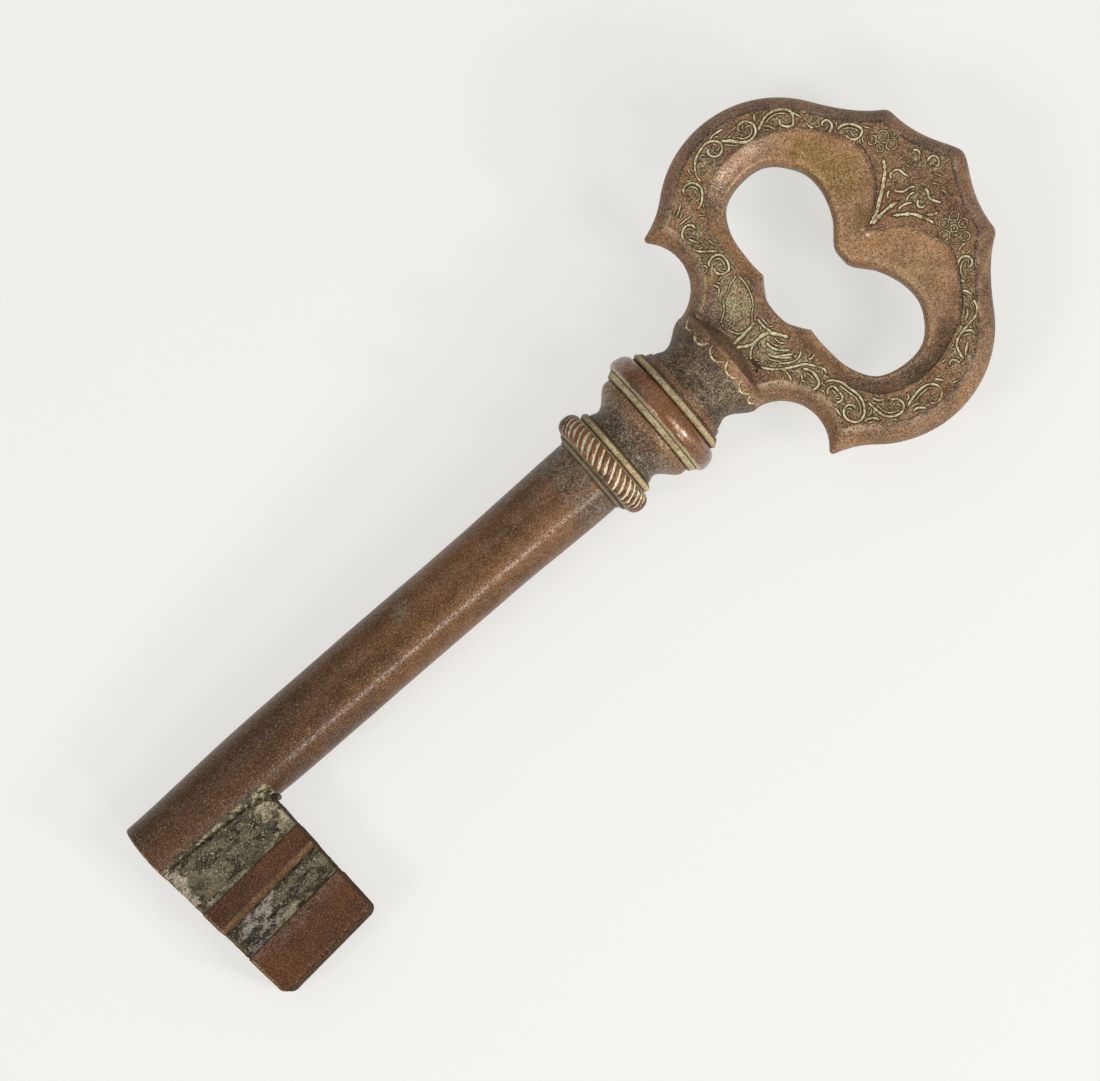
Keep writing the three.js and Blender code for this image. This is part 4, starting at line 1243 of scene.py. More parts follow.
def corner_pull(first, second, radius):
    """How far a point of a square corner moves in along both directions to lie on a round one."""
    pull = (max(radius - first, 0), max(radius - second, 0))
    length = math.hypot(*pull)
    if length == 0:
        return 0, 0
    share = 1 - max(pull) / length
    return pull[0] * share, pull[1] * share


def ragged(place, size, depth):
    """An uneven length for moving the edge of a deposit to and fro."""
    return depth * noise.fractal(place / size, 0.7, 2.1, 4)


def spot_share(x, reach, shift, mark):
    """1 inside a listed patch of a ward, given by its middle, half length and half width."""
    middle, across, length, width = mark
    away = math.hypot((x - middle) / length, (reach - across) / width)
    return glide((1 + 0.9 * shift - away) / 0.3)


# Deposits on the bit, in the order that ward_deposits gives the first six. Pits and tan metal are
# given as their middle along and across, half length and half width.
# Of these marks the last two are painted light: a highlight along the end's edge and shade on the outer
# edge and side walls.
DEPOSITS_AND_PAINTED_LIGHT = ("crust", "pale", "tan", "haze", "line", "violet", "rim", "far")
ROOT_PITS = [
    (28.2, 15.6, 0.9, 1.2), (3.6, 16.6, 1.0, 0.5), (24.6, 11.8, 1.3, 0.4), (18.5, 11.4, 1.2, 0.4),
]
ROOT_TAN = (5.2, 17.6, 2.2, 0.5)
FAR_PITS = [(25.5, 28.6, 2.4, 0.35), (7, 33.4, 1.8, 0.35), (2.5, 29.4, 0.6, 0.6), (14.5, 31, 1.4, 0.3)]


def ward_deposits(x, reach, place):
    """Shares of dark crust, pale crust, tan metal, haze, black lines and violet crust at a place."""
    bar_near, bar_far, block = ward_edges(x)
    shift = ragged(place, 2.4, 0.9)
    patch = 2.2 * noise.fractal(place / 3.2, 0.8, 2, 3)
    line = max(glide(1 - abs(reach - edge) / 0.28) for edge in (bar_near, bar_far, block))
    if reach < bar_near:
        strip = bar_near - reach + shift * 0.5
        ends = min(x - 3.2 + shift, BIT_LENGTH - 5 - x + shift)
        dark = max(glide((strip - 1.5) / 0.25) * glide(ends / 0.3), glide(patch - 0.6) * glide(strip - 2))
        marks = [spot_share(x, reach, shift, mark) for mark in ROOT_PITS]
        violet = glide((2.6 + shift - x) / 0.8) * glide(strip - 2.5)
        tan = spot_share(x, reach, shift, ROOT_TAN)
        rim = 4 * dark * (1 - dark) * glide(patch + 0.9)
        return dark, (1 - dark) * (1 - tan), tan, 0, max(line, rim, *marks), violet
    if bar_far < reach < block:
        tan = glide((1.6 - (reach - bar_far) + 0.3 * shift) / 0.3)
        strip = block - reach + shift * 0.7 - 2.0 * glide(1.5 - abs(x - 16) / 5)
        dark = max(glide((strip - 0.9) / 0.3), glide(patch / 0.4 - 1)) * (1 - tan)
        middle = glide(1.6 - abs(x - 15 + 0.8 * (reach - bar_far)) / 4 + 2 * shift + 0.5 * patch)
        marks = [spot_share(x, reach, shift, mark) for mark in FAR_PITS]
        black = 0.9 * glide(1 - abs(reach - bar_far - 1.5 + 0.3 * shift) / 0.35)
        black = max(black, 3 * dark * (1 - dark) * glide(patch + 0.7))
        return dark, (1 - tan) * (1 - dark), tan, 0, max(line, black, *marks), middle * (1 - tan)
    if reach >= block:
        return 0, 0, 0, glide((block + 4.5 + 2 * shift - reach) / 4), line, 0
    return 0, 0, 0, 0, line, 0


def weathered_blade(bm):
    """Keeps the deposits, the painted end highlight and the painted wall shade as shares at each point of
    the blade, and dents it where the deposits are.
    """
    bm.normal_update()
    layers = {name: bm.verts.layers.float.new(name) for name in DEPOSITS_AND_PAINTED_LIGHT}
    heel_slope = math.tan(math.radians(BIT_HEEL_LEAN))
    end_slope = math.tan(math.radians(BIT_END_LEAN))
    for vert in bm.verts:
        x, reach = vert.co.x - bit_end - BIT_SETBACK, -vert.co.y
        place = vert.co.copy()
        shares = ward_deposits(x, reach, place)
        dark, pale, _, _, line, _ = shares
        out = reach - SHANK_END_RADIUS
        from_end = min(x - end_slope * out, BIT_LENGTH + heel_slope * out - x)
        on_end = glide((0.5 - from_end) / 0.3)
        for name, share in zip(DEPOSITS_AND_PAINTED_LIGHT, shares):
            vert[layers[name]] = share * (1 - 0.5 * on_end)
        # A painted highlight: a pale tan line along the end's edge, on the faces.
        rim = glide((0.75 - from_end + ragged(place, 1.6, 0.25)) / 0.4)
        by_face = glide((abs(vert.co.z) - BIT_THICKNESS / 2 + 2.6) / 0.6)
        vert[layers["rim"]] = rim * by_face * (1 - on_end) * (x < BIT_LENGTH / 2)
        if abs(vert.normal.z) > 0.3:
            rough = 0.5 * max(0.5 + 0.5 * noise.fractal(place / 1.7, 0.75, 2.2, 4), 0)
            flake = glide((noise.fractal(place / 2.6, 0.6, 2.3, 5) - 0.05) / 0.12)
            sunk = dark * (0.2 + rough + 0.25 * flake) + pale * rough + 0.4 * line * (dark + pale)
            vert.co.z -= math.copysign(sunk, vert.co.z)
        elif from_end < 0.4:
            dent = (dark + pale) * 0.5 * abs(ragged(place, 1.5, 1))
            vert.co.x += dent if x < BIT_LENGTH / 2 else -dent
        # Painted shade on the outer edge and the side walls.
        far_out = bit_across(x, BIT_REACH, BIT_FAR_LEAN) - reach
        side_on = glide((0.75 - abs(vert.normal.z)) / 0.25)
        vert[layers["far"]] = max(glide((1.2 - far_out) / 0.8), side_on)
        wear_and_highlight = 0.5 + 0.5 * noise.noise(place / 3)
        vert.co -= vert.normal * 0.1 * wear_and_highlight


def bit():
    bm = bit_blade()
    weathered_blade(bm)
    bronze = bit_bronze()
    thing = placed(bm, "bit_cast", bronze)
    combined(thing, placed(tenon_block(0), "tenon", bronze), "UNION")
    handed_over(thing, "bit", 50)


def tenon_block(clearance):
    """The bit's tenon, or with a clearance its slot in the shank."""
    top = BORE_RADIUS + BORE_WALL + FIT - clearance
    bottom = SHANK_RADIUS + 1
    size = Vector((
        BIT_LENGTH - 2 * (TENON_SETBACK - clearance), bottom - top, TENON_THICKNESS + 2 * clearance))
    middle = Vector((bit_end + BIT_SETBACK + BIT_LENGTH / 2, -(top + bottom) / 2, 0))
    bm = bmesh.new()
    bmesh.ops.create_cube(bm, size=1, matrix=Matrix.LocRotScale(middle, None, size))
    return bm


def turn_of(vert):
    """The angle of a point round the key's length."""
    return math.atan2(vert.co.y, vert.co.z)


def braze_seam(face, node):
    """An uneven rod of filler metal in the corner between the shank and the root ward's floor."""
    height = BIT_THICKNESS / 2 - ROOT_WARD_DEPTH + FIT + BRAZE_RADIUS
    start, end = BIT_SETBACK + BRAZE_INSET, BIT_SETBACK + BIT_LENGTH - BRAZE_INSET
    spun_length = 100
    profile = [(0, 0)]
    for i in range(BRAZE_STEPS + 1):
        share = i / BRAZE_STEPS
        fade = math.sqrt(max(1 - abs(2 * share - 1) ** 12, 0.02))
        profile.append((share * spun_length, fade))
    profile.append((spun_length, 0))
    bm = spun(profile, BRAZE_AROUND)
    for vert in bm.verts:
        station = lerp(start, end, vert.co.x / spun_length)
        away = shank_radius(station) + FIT + BRAZE_RADIUS
        bead = 0.55 + 0.6 * noise.fractal(Vector((station / 0.9, face * 9, turn_of(vert) / 1.1)), 0.6, 2, 4)
        centre = Vector((bit_end + station, -math.sqrt(away ** 2 - height ** 2), face * height))
        vert.co = centre + Vector((0, vert.co.y, vert.co.z)) * BRAZE_RADIUS * min(max(bead, 0.2), 1)
    bmesh.ops.recalc_face_normals(bm, faces=bm.faces)
    handed_over(placed(bm, node + "_run", filler_metal()), node)


def braze_heel():
    station = BIT_SETBACK + BIT_LENGTH + FIT + HEEL_BEAD_RADIUS
    away = shank_radius(station) + FIT + HEEL_BEAD_RADIUS
    bm = bmesh.new()
    bmesh.ops.create_icosphere(bm, subdivisions=5, radius=HEEL_BEAD_RADIUS)
    for vert in bm.verts:
        lump = 0.9 + 0.14 * noise.noise(vert.co * 1.3) + 0.05 * noise.noise(vert.co * 4)
        vert.co *= min(lump, 1)
        vert.co.z *= HEEL_BEAD_LENGTH / (2 * HEEL_BEAD_RADIUS)
        vert.co += Vector((
            bit_end + station, -math.sqrt(away ** 2 - HEEL_BEAD_HEIGHT ** 2), HEEL_BEAD_HEIGHT))
    handed_over(placed(bm, "bit_braze_heel_blob", filler_metal()), "bit_braze_heel")


# Engraving: strokes by distance back from the crown tip and out from the axis. They are cut into both
# faces of the bow. A ring is a centre and a radius.

SCROLLS_UPPER_CROWN = [
    [(42, 39.5), (40.3, 37.6), (38.9, 35.9), (37, 35.3), (35.1, 35.9), (34.3, 37.6), (34.7, 39),
     (35.75, 39.9), (37.2, 39.9), (38, 39), (37.4, 38.2)],
    [(34.9, 35.5), (33, 36.5), (30.75, 37.25), (28.5, 37), (26.6, 35.9), (25.5, 34.25), (26, 32.6),
     (27.4, 31.3), (28.9, 32.4), (29.3, 33.8), (28.25, 34.7)],
    [(33, 36.3), (31.6, 34.7), (31.1, 33)],
    [(32.2, 39.9), (33.2, 38.6), (33.3, 37.6)],
    [(30.1, 38.5), (31.25, 37.8)],
    [(25.5, 34.25), (24.8, 32.4), (24.5, 30.9)],
    [(23.7, 32.4), (22.3, 31.25)],
    [(24.5, 30.5), (24.3, 28), (23.25, 25.5), (21.6, 24.2), (20.1, 25.1), (20.25, 26.75), (21.6, 27),
     (22.2, 25.9)],
    [(23.5, 28.8), (21.6, 28.8)],
    [(20.3, 23.2), (18.7, 23.4), (17, 22.6), (15.75, 20.9), (15.5, 19.25), (17, 18.4), (18.5, 18.8),
     (19.3, 20), (19.1, 21.3)],
    [(14.7, 19.7), (13.5, 18)],
]
FLOWER_PARTS = [
    [(18, 5.1), (17.8, 6.3), (16.6, 6.75), (15.3, 6.1), (14.9, 4.25), (14.3, 2.8)],
    [(19.3, 3.4), (19.1, 2.4), (17.8, 1.3), (16.2, 1.1), (14.9, 0.3)],
    [(18.7, 3.8), (17.4, 4.3)],
    [(13.9, 7.8), (12.8, 8), (12.2, 7.4)],
    [(13.25, 6.3), (12.8, 4.25)],
    [(9.9, 7.6), (8.9, 7), (8.75, 5.9), (9.7, 5.1), (10.1, 4.25)],
    [(9.1, 2.6), (8, 3.4), (6.6, 3), (6.4, 1.75), (7.4, 0.6), (8.5, 1.3)],
    [(22.4, -1.75), (21.2, -1.1), (19.3, -1.4), (17.8, -2.4)],
    [(19.3, -1.1), (18.25, -0.5), (17, -0.3), (15.75, -0.7)],
    [(16, -2.6), (17, -2.8), (17.6, -3.8), (16.8, -4.7), (15.75, -4.25)],
    [(13.7, -1.1), (13.5, -2.4), (14.3, -4), (13.7, -5.5), (12.6, -7)],
    [(11.4, -1.5), (10.1, -3.4)],
    [(9.3, -0.5), (8.3, -2.4)],
    [(10.75, -4.25), (10.3, -6.1)],
    [(18, -6.1), (16.2, -7.6), (14.7, -8)],
    [(23, 7.4), (21.8, 7.6), (21, 9.5), (20.7, 10.3)],
    [(22, 2.2), (21.2, 3.4), (19.9, 3.8)],
    [(25.3, 5.1), (24.3, 6.75)],
]
STEMS = [
    [(29.9, 0.5), (26.6, 1.5), (24.1, 3.2), (21.2, 5.3), (19.1, 7), (17.4, 8.8), (16.2, 10.9)],
    [(29.5, 0.1), (24.5, 0.75), (19.9, 0.3)],
    [(24.1, -1.1), (22, -2.6), (19.9, -4.25), (18.7, -6.3), (17.8, -8.2), (17.5, -9.9)],
]
BLOSSOM_RINGS = [
    ((12.8, 14.7), 1.6), ((12.4, 11.8), 1.3), ((15.2, 13.1), 0.9), ((15.3, 15.9), 1.1), ((10.3, 13.3), 0.9),
    ((15.75, -10.9), 1.2), ((12.6, -11.3), 1.2), ((17.4, -13.2), 1.2), ((16.4, -15.7), 1.2),
    ((13.9, -16.7), 1.1), ((12.2, -14), 1.1), ((14.7, -13.5), 0.8),
    ((66.5, 18.8), 0.8), ((66.7, -18), 0.6), ((51.5, -42.7), 0.6),
]
SCROLLS_LOWER_CROWN = [
    [(17.6, -18.6), (16.6, -18), (14.9, -17.9)],
    [(20.5, -19), (19.5, -17.6)],
    [(21.2, -25.5), (21.7, -23.8), (21.2, -22), (19.7, -20.5), (17.8, -20), (16.6, -21.1), (16.8, -22.6),
     (18, -23), (18.5, -22.2)],
    [(19.7, -24.7), (19.3, -23.8)],
    [(24.9, -28.8), (24.8, -27.4), (23.9, -26.3), (22.6, -26.75), (22.2, -28.2), (21.6, -28.8)],
    [(25.1, -29.7), (25.75, -31.1), (27.8, -32.2)],
    [(24, -29.7), (24.5, -31.75)],
    [(22.6, -29.25), (23, -31.3), (24.5, -32.8), (26.6, -33.2), (29.1, -33.6), (31.6, -34.25), (33, -35.5),
     (33.7, -37.6), (33.9, -39.25)],
    [(29.9, -32.2), (28.7, -31.3), (27.8, -30.3)],
    [(30.75, -33.8), (29.1, -34), (27.8, -35.1), (28, -36.75)],
    [(33.25, -39), (32.2, -37.8), (29.9, -36.1)],
    [(26.4, -35.3), (25.3, -34.9)],
    [(37.6, -38.2), (36.6, -37.2), (35.5, -37.8), (35.1, -39.5)],
    [(38.5, -36.1), (37, -36.1)],
    [(42, -38), (40.75, -39.7)],
    [(39.3, -41.75), (37.8, -42)],
]
SCROLLS_UPPER_NECK = [
    [(45, 41.75), (43.3, 42.2), (40.2, 41.75)],
    [(52.9, 35.1), (52.9, 37.2), (51.7, 39.25), (50, 40.7), (47.9, 41.5), (45.8, 41.8), (44, 40.9),
     (43.3, 39.5), (44, 38), (45.8, 37.6), (47, 38.6), (46.9, 40.1), (45.4, 40.3)],
    [(43.1, 40.1), (41.25, 38.4), (39.4, 36.3), (37.5, 35.5)],
    [(52, 36.5), (50.8, 37.2)],
    [(53.3, 40.1), (53.75, 38.4)],
    [(63.75, 32.6), (61.7, 33.6), (60.2, 34.7)],
    [(58.3, 35.5), (57.3, 37), (55.4, 37.1), (54.2, 35.9), (54, 34.25), (55, 32.6), (56.7, 31.3),
     (58.3, 30.9)],
    [(64, 30.9), (62, 30.9), (60.2, 30.7)],
    [(55.8, 38), (54.4, 37.2)],
    [(58.75, 29.7), (57.7, 28.6)],
    [(61.7, 27.2), (61.5, 28.8), (62.9, 29.7), (64.6, 29), (65.4, 27.6), (65.4, 24.7), (64.2, 22.6),
     (62.1, 20.9), (61, 19.7)],
    [(64.6, 27.2), (63.75, 25.5), (62.9, 24)],
    [(61, 23.8), (60.6, 21.3)],
    [(65.4, 18), (64.4, 19.25), (62.5, 19.7), (61, 18.6), (61, 16.3), (62.1, 14.7), (64, 15.1),
     (64.8, 16.5), (64, 17.8)],
    [(67.5, 14.7), (66.7, 13), (67.9, 11.75)],
]
SHIELD = [
    (61.25, 12.8), (62.5, 12.2), (64.2, 11.75), (65.8, 10.7), (67.9, 9.9), (69, 8.4), (70, 7.4),
    (71.7, 6.3), (72, 4.7), (71, 2.2), (70, 1.1), (67.5, 0.5), (65.8, 1.75), (64.8, 3), (63.3, 4.25),
    (62.1, 6.3), (61.2, 9.5),
]
TONGUE_LINES = [
    [(73.75, -0.1), (72.3, 0.3), (69.6, 0.4), (66.7, 0.75), (65.4, 1.2)],
    [(73.5, -0.1), (72.3, -1.3), (70, -2.6), (67.5, -2.7), (65.8, -2.8), (64.6, -3.6), (63.3, -5.1),
     (61.7, -7.6)],
]
SCROLLS_LOWER_NECK = [
    [(64.6, 1.6), (64.7, -1.3), (64, -4.25)],
    [(67.5, -2.7), (70.4, -3.4), (72, -5), (72.2, -7.2), (71.25, -9), (69.6, -10.9), (67.5, -12.4),
     (65.4, -13.6), (63.3, -14.7), (61.7, -16.75), (60.6, -18.8), (61, -20.5)],
    [(66.7, -4.25), (66.7, -6.3), (65.4, -8.4), (63.3, -10)],
    [(68.3, -6.3), (67.9, -8), (66.25, -10), (64.2, -11.75)],
    [(67.5, -8.4), (65.4, -10), (63.3, -11.3)],
    [(68.1, -10.3), (66.25, -11.75), (64.2, -12.6), (62.5, -12.2), (61.9, -11.3)],
    [(64.6, -5), (64.4, -6.75), (62.9, -8.2)],
    [(68.75, -11.1), (67.9, -13), (68.1, -15), (68.75, -15.9)],
    [(64.8, -15), (63.5, -16.3), (63.1, -18.4), (63.75, -20.5), (65.4, -20.9), (66.25, -20.1)],
    [(65.4, -15.9), (66.5, -17.6)],
    [(62.1, -14), (61.25, -14.7), (59.6, -14.25)],
    [(62.7, -21.3), (61.25, -21.75), (59.6, -23.8), (59, -26.3), (58.5, -28.8), (59, -31.3), (60.4, -33.2),
     (62.5, -33.8), (64, -32.6), (64.4, -30.9), (63.75, -29.5), (62.1, -29), (61, -30.1), (61.5, -31.3)],
    [(64.2, -24.25), (63.1, -23), (61.7, -23.2), (61.5, -25.1), (61.7, -26.75), (62.9, -27.2), (64, -26.3)],
    [(60.8, -26.75), (60.6, -28)],
    [(65.4, -26.75), (64.8, -28), (65, -30.1)],
    [(67.5, -31.5), (66.5, -31.5), (65.4, -32.8)],
    [(62.1, -34.9), (60.8, -34.7), (59.2, -35.7), (58.5, -37.2)],
    [(57.9, -31.3), (57.7, -34.25), (57.1, -36.75), (55.4, -38.4), (53.3, -38.8), (51.9, -37.8),
     (51.9, -36.1), (52.9, -35.1), (54, -34.7)],
    [(56.5, -31.3), (55.8, -33), (54.4, -33.8)],
    [(56.25, -38.8), (54.6, -40.3)],
    [(51.9, -39), (50, -38.2), (47.1, -37.6), (44.6, -37.8), (42.9, -39.25), (42.9, -41.3), (44.6, -42.6),
     (46.25, -42.2), (47.1, -40.9)],
    [(51.7, -40.5), (50, -40.5), (48.75, -41.5), (48.1, -42.4)],
    [(49.4, -35.9), (49.8, -37.2), (50.8, -37.6)],
    [(46.7, -36.3), (44.4, -36.1)],
    [(42.3, -38), (41.25, -39.25), (40.2, -39.7)],
    [(41.7, -41.75), (40.8, -42.6)],
    [(39.8, -41.5), (37.9, -42)],
]

# Widths and depths of the cuts, and how they taper and are stepped
FINE_CUT, PLAIN_CUT, WIDE_CUT = 0.52, 0.74, 1.05
CUT_DEPTH, CUT_END, CUT_STEP, STROKE_STEPS = 0.22, 1.3, 0.4, 10
# The shallow step beside each cut takes the dark finish all over, a painted shade outline.
CUT_SHADE_WIDTH, CUT_SHADE_DEPTH = 0.2, 0.08

# A cut's flanks take the darker finish, which is painted shade: how level a face of the cutter is to count
# as the cut's floor
WALL_FACING = 0.78

# Leaves and echoes are set beside the scrolls where they clear every other cut by a least gap. Strokes
# whose starts are further apart than the longest reach aren't compared.
LEAF_STEP, LEAF_AWAY, LEAF_LENGTH, LEAF_TURN, LEAF_STEPS = 1.35, 0.66, 1.35, 48, 6
ECHO_LEAST, ECHO_AWAY, ECHO_STEPS = 3, 0.95, 40
LEAST_GAP, LONGEST_REACH = 0.12, 30

# Stipple in the shield, within a box that is given by two corners of the plan
STIPPLE_PITCH, STIPPLE_MARGIN, STIPPLE_RADIUS = 0.78, 0.55, 0.22
STIPPLE_LOW, STIPPLE_HIGH = (73, 0), (60, 13.5)

# Border of petals round the neck's flare, by distance from the neck's foot
PETALS, PETAL_STEPS = 16, 16
PETAL_FOOT, PETAL_TIP = 11.2, 14.0
PETAL_LIFT, PETAL_HALF_WIDTH, PETAL_SPREAD = 0.14, 0.44, 0.46


def stroke_run(points):
    return spline_run([plan(*point) for point in points], STROKE_STEPS)


def run_length(run):
    return sum((b - a).length for a, b in zip(run, run[1:]))


def cut_path(points, width):
    """Places and half widths along a stroke, which starts and ends in a point."""
    run = stroke_run(points)
    length = run_length(run)
    steps = max(round(length / CUT_STEP), 4)
    path = []
    for i, point in enumerate(evenly(run, steps)):
        from_end = min(i, steps - i) * length / steps
        swell = 0.9 + 0.5 * noise.noise(Vector((point.x / 0.8, point.y / 0.8, width)))
        path.append((point, width / 2 * (0.25 + 0.75 * glide(from_end / CUT_END)) * swell))
    return path


def ring_path(centre, radius, width):
    """A closed loop of uneven width and radius."""
    steps = max(round(FULL_TURN * radius / CUT_STEP), 12)
    path = []
    for i in range(steps):
        way = heading(360 * i / steps)
        lump = noise.noise(Vector((*(way * 1.3), centre[0])))
        place = plan(*centre) + radius * (1 + 0.35 * lump) * way
        path.append((place, width / 2 * (0.75 + 0.4 * lump)))
    return path


def echo_path(points, turn):
    """A fine cut beside the middle of a scroll, inside its bend or outside it."""
    run = evenly(stroke_run(points), ECHO_STEPS)
    length = run_length(run)
    if length < ECHO_LEAST:
        return None
    bend = turn * (run[10] - run[0]).cross(run[30] - run[10])
    side = moved_in(run, lambda p: ECHO_AWAY if bend > 0 else -ECHO_AWAY)[6:24]
    steps = max(round(length * 0.45 / CUT_STEP), 4)
    return [
        (point, FINE_CUT / 2 * (0.25 + 0.75 * glide(min(i, steps - i) * 0.5)))
        for i, point in enumerate(evenly(side, steps))
    ]


def all_cuts():
    """Every cut of one face as its path and whether it closes on itself."""
    scrolls = SCROLLS_UPPER_CROWN + SCROLLS_LOWER_CROWN + SCROLLS_UPPER_NECK + SCROLLS_LOWER_NECK
    cuts = [(cut_path(points, PLAIN_CUT), False) for points in scrolls]
    cuts += [(cut_path(points, PLAIN_CUT), False) for points in FLOWER_PARTS]
    cuts += [(cut_path(points, WIDE_CUT), False) for points in STEMS + TONGUE_LINES]
    cuts += [(ring_path(centre, radius, FINE_CUT), True) for centre, radius in BLOSSOM_RINGS]
    cuts.append((cut_path([*SHIELD, SHIELD[0]], FINE_CUT)[:-2], True))
    flat = whole_outline(bow_half(FLANK_WIDTH + LEAF_AWAY / 2), False)
    dish = whole_outline(dish_outline(), True)
    for points in scrolls:
        for extra in [echo_path(points, 1), echo_path(points, -1), *leaves(points)]:
            if not extra or not all(inside(p, flat) and not inside(p, dish) for p, _ in extra):
                continue
            if all(apart(extra, other) for other, _ in cuts):
                cuts.append((extra, False))
    return cuts


def leaves(points):
    """Short curved ticks to and fro along a scroll."""
    run = stroke_run(points)
    count = round(run_length(run) / LEAF_STEP)
    run = evenly(run, max(2 * count, 2))
    ticks = []
    for i in range(1, 2 * count - 1, 2):
        ahead = (run[i + 1] - run[i]).normalized()
        jog = noise.noise(Vector((*run[i], 3.3)))
        side = 1 if i % 4 == 1 else -1
        out = Vector((-ahead.y, ahead.x)) * side
        start = run[i] + out * LEAF_AWAY
        lean = math.radians(LEAF_TURN + 25 * jog)
        reach = LEAF_LENGTH * (1 + 0.5 * jog)
        end = start + reach * (math.cos(lean) * ahead + math.sin(lean) * out)
        bend = start + 0.5 * reach * (math.cos(lean / 3) * ahead + math.sin(lean / 3) * out)
        ticks.append([
            (point, FINE_CUT / 2 * (0.35 + 0.6 * math.sin(math.pi * k / LEAF_STEPS)))
            for k, point in enumerate(sweep_run(start, bend, end, LEAF_STEPS))])
    return ticks


def apart(path, other):
    """Whether two paths keep clear of each other."""
    return (path[0][0] - other[0][0]).length > LONGEST_REACH or all(
        (a - b).length > ra + rb + LEAST_GAP
        for a, ra in path[::2] + path[-1:] for b, rb in other)


def rounds_of(cuts):
    """The cuts dealt out so that none touches another in its own round."""
    rounds = []
    for cut in cuts:
        for group in rounds:
            if all(apart(cut[0], other[0]) for other in group):
                group.append(cut)
                break
        else:
            rounds.append([cut])
    return rounds


def cut_shade_section():
    """A flat box across a path, whose half width is 1."""
    section = bpy.data.curves.new("section", "CURVE")
    spline = section.splines.new("POLY")
    spline.points.add(3)
    for point, (x, y) in zip(spline.points, [(-1, -1), (1, -1), (1, 1), (-1, 1)]):
        point.co = (x, y * CUT_SHADE_DEPTH, 0, 1)
    spline.use_cyclic_u = True
    shape = bpy.data.objects.new("section", section)
    bpy.context.scene.collection.objects.link(shape)
    return shape


def tube_cutter(paths, materials, section=None):
    """Round cutters along paths of points and radii. The materials are for the floor and the flanks."""
    curve = bpy.data.curves.new("cutter", "CURVE")
    curve.dimensions = "3D"
    curve.bevel_depth = 1
    curve.bevel_resolution = 4
    if section:
        curve.bevel_mode = "OBJECT"
        curve.bevel_object = section
    curve.use_fill_caps = True
    curve.twist_mode = "Z_UP"
    for points, closed in paths:
        spline = curve.splines.new("POLY")
        spline.points.add(len(points) - 1)
        for target, (place, radius) in zip(spline.points, points):
            target.co = (*place, 1)
            target.radius = radius
        spline.use_cyclic_u = closed
    shape = bpy.data.objects.new("cutter", curve)
    bpy.context.scene.collection.objects.link(shape)
    mesh = bpy.data.meshes.new_from_object(shape.evaluated_get(bpy.context.evaluated_depsgraph_get()))
    bpy.data.objects.remove(shape)
    bm = bmesh.new()
    bm.from_mesh(mesh)
    bmesh.ops.remove_doubles(bm, verts=bm.verts, dist=CUTTER_MERGE)
    bmesh.ops.recalc_face_normals(bm, faces=bm.faces)
    for face in bm.faces:
        middle = face.calc_center_median()
        flat = abs(face.normal.z)
        if abs(middle.x - neck_foot) < NECK_SHOULDER and middle.yz.length < NECK_RIDGE_RADIUS + 1:
            flat = abs(face.normal.yz.dot(middle.yz.normalized()))
        face.material_index = 0 if flat > WALL_FACING and not section else 1
    cutter = placed(bm, "cutter", materials[0])
    cutter.data.materials.append(materials[1])
    return cutter


def face_tube(path, face):
    """A path on a face of the bow as a tube that cuts to the full depth at its full width."""
    widest = max(half for _, half in path)
    rise = (widest ** 2 / CUT_DEPTH - CUT_DEPTH) / 2
    level = face * (BOW_THICKNESS / 2 + rise)
    return [((p.x, p.y, level), math.sqrt(half ** 2 + rise ** 2)) for p, half in path]


def inside(point, outline):
    """Whether a point of the plan is inside a closed outline."""
    crossings = 0
    for a, b in zip(outline, outline[1:] + outline[:1]):
        if (a.y > point.y) != (b.y > point.y):
            crossings += point.x < a.x + (b.x - a.x) * (point.y - a.y) / (b.y - a.y)
    return crossings % 2 == 1


def stipple(material):
    """Small pricked dots that fill the shield on both faces."""
    outline = [plan(*point) for point in SHIELD]
    bm = bmesh.new()
    low, high = plan(*STIPPLE_LOW), plan(*STIPPLE_HIGH)
    rows = round((high.x - low.x) / STIPPLE_PITCH)
    columns = round((high.y - low.y) / STIPPLE_PITCH)
    for i in range(rows):
        for j in range(columns):
            jog = noise.noise_vector(Vector((i * 1.7, j * 1.3, 0.4))) * 0.42
            spot = low + Vector((i + 0.5 * (j % 2), j)) * STIPPLE_PITCH + jog.xy
            margin = [spot + STIPPLE_MARGIN * heading(45 * k) for k in range(8)]
            if not all(inside(p, outline) for p in margin):
                continue
            radius = STIPPLE_RADIUS + 0.08 * jog.z
            for face in (1, -1):
                place = Matrix.Translation((spot.x, spot.y, face * (BOW_THICKNESS / 2 + 0.02)))
                bmesh.ops.create_icosphere(bm, subdivisions=1, radius=radius, matrix=place)
    return placed(bm, "stipple", material)


def neck_radius(station):
    """Outside radius of the neck's flare, by distance from the neck's foot."""
    if station < NECK_MOUTH:
        share = (station - NECK_WAIST) / (NECK_MOUTH - NECK_WAIST)
        return lerp(NECK_WAIST_RADIUS, NECK_MOUTH_RADIUS, (1 - math.cos(math.pi * share)) / 2)
    return lerp(NECK_MOUTH_RADIUS, NECK_RIDGE_RADIUS, (station - NECK_MOUTH) / (NECK_RIDGE - NECK_MOUTH))


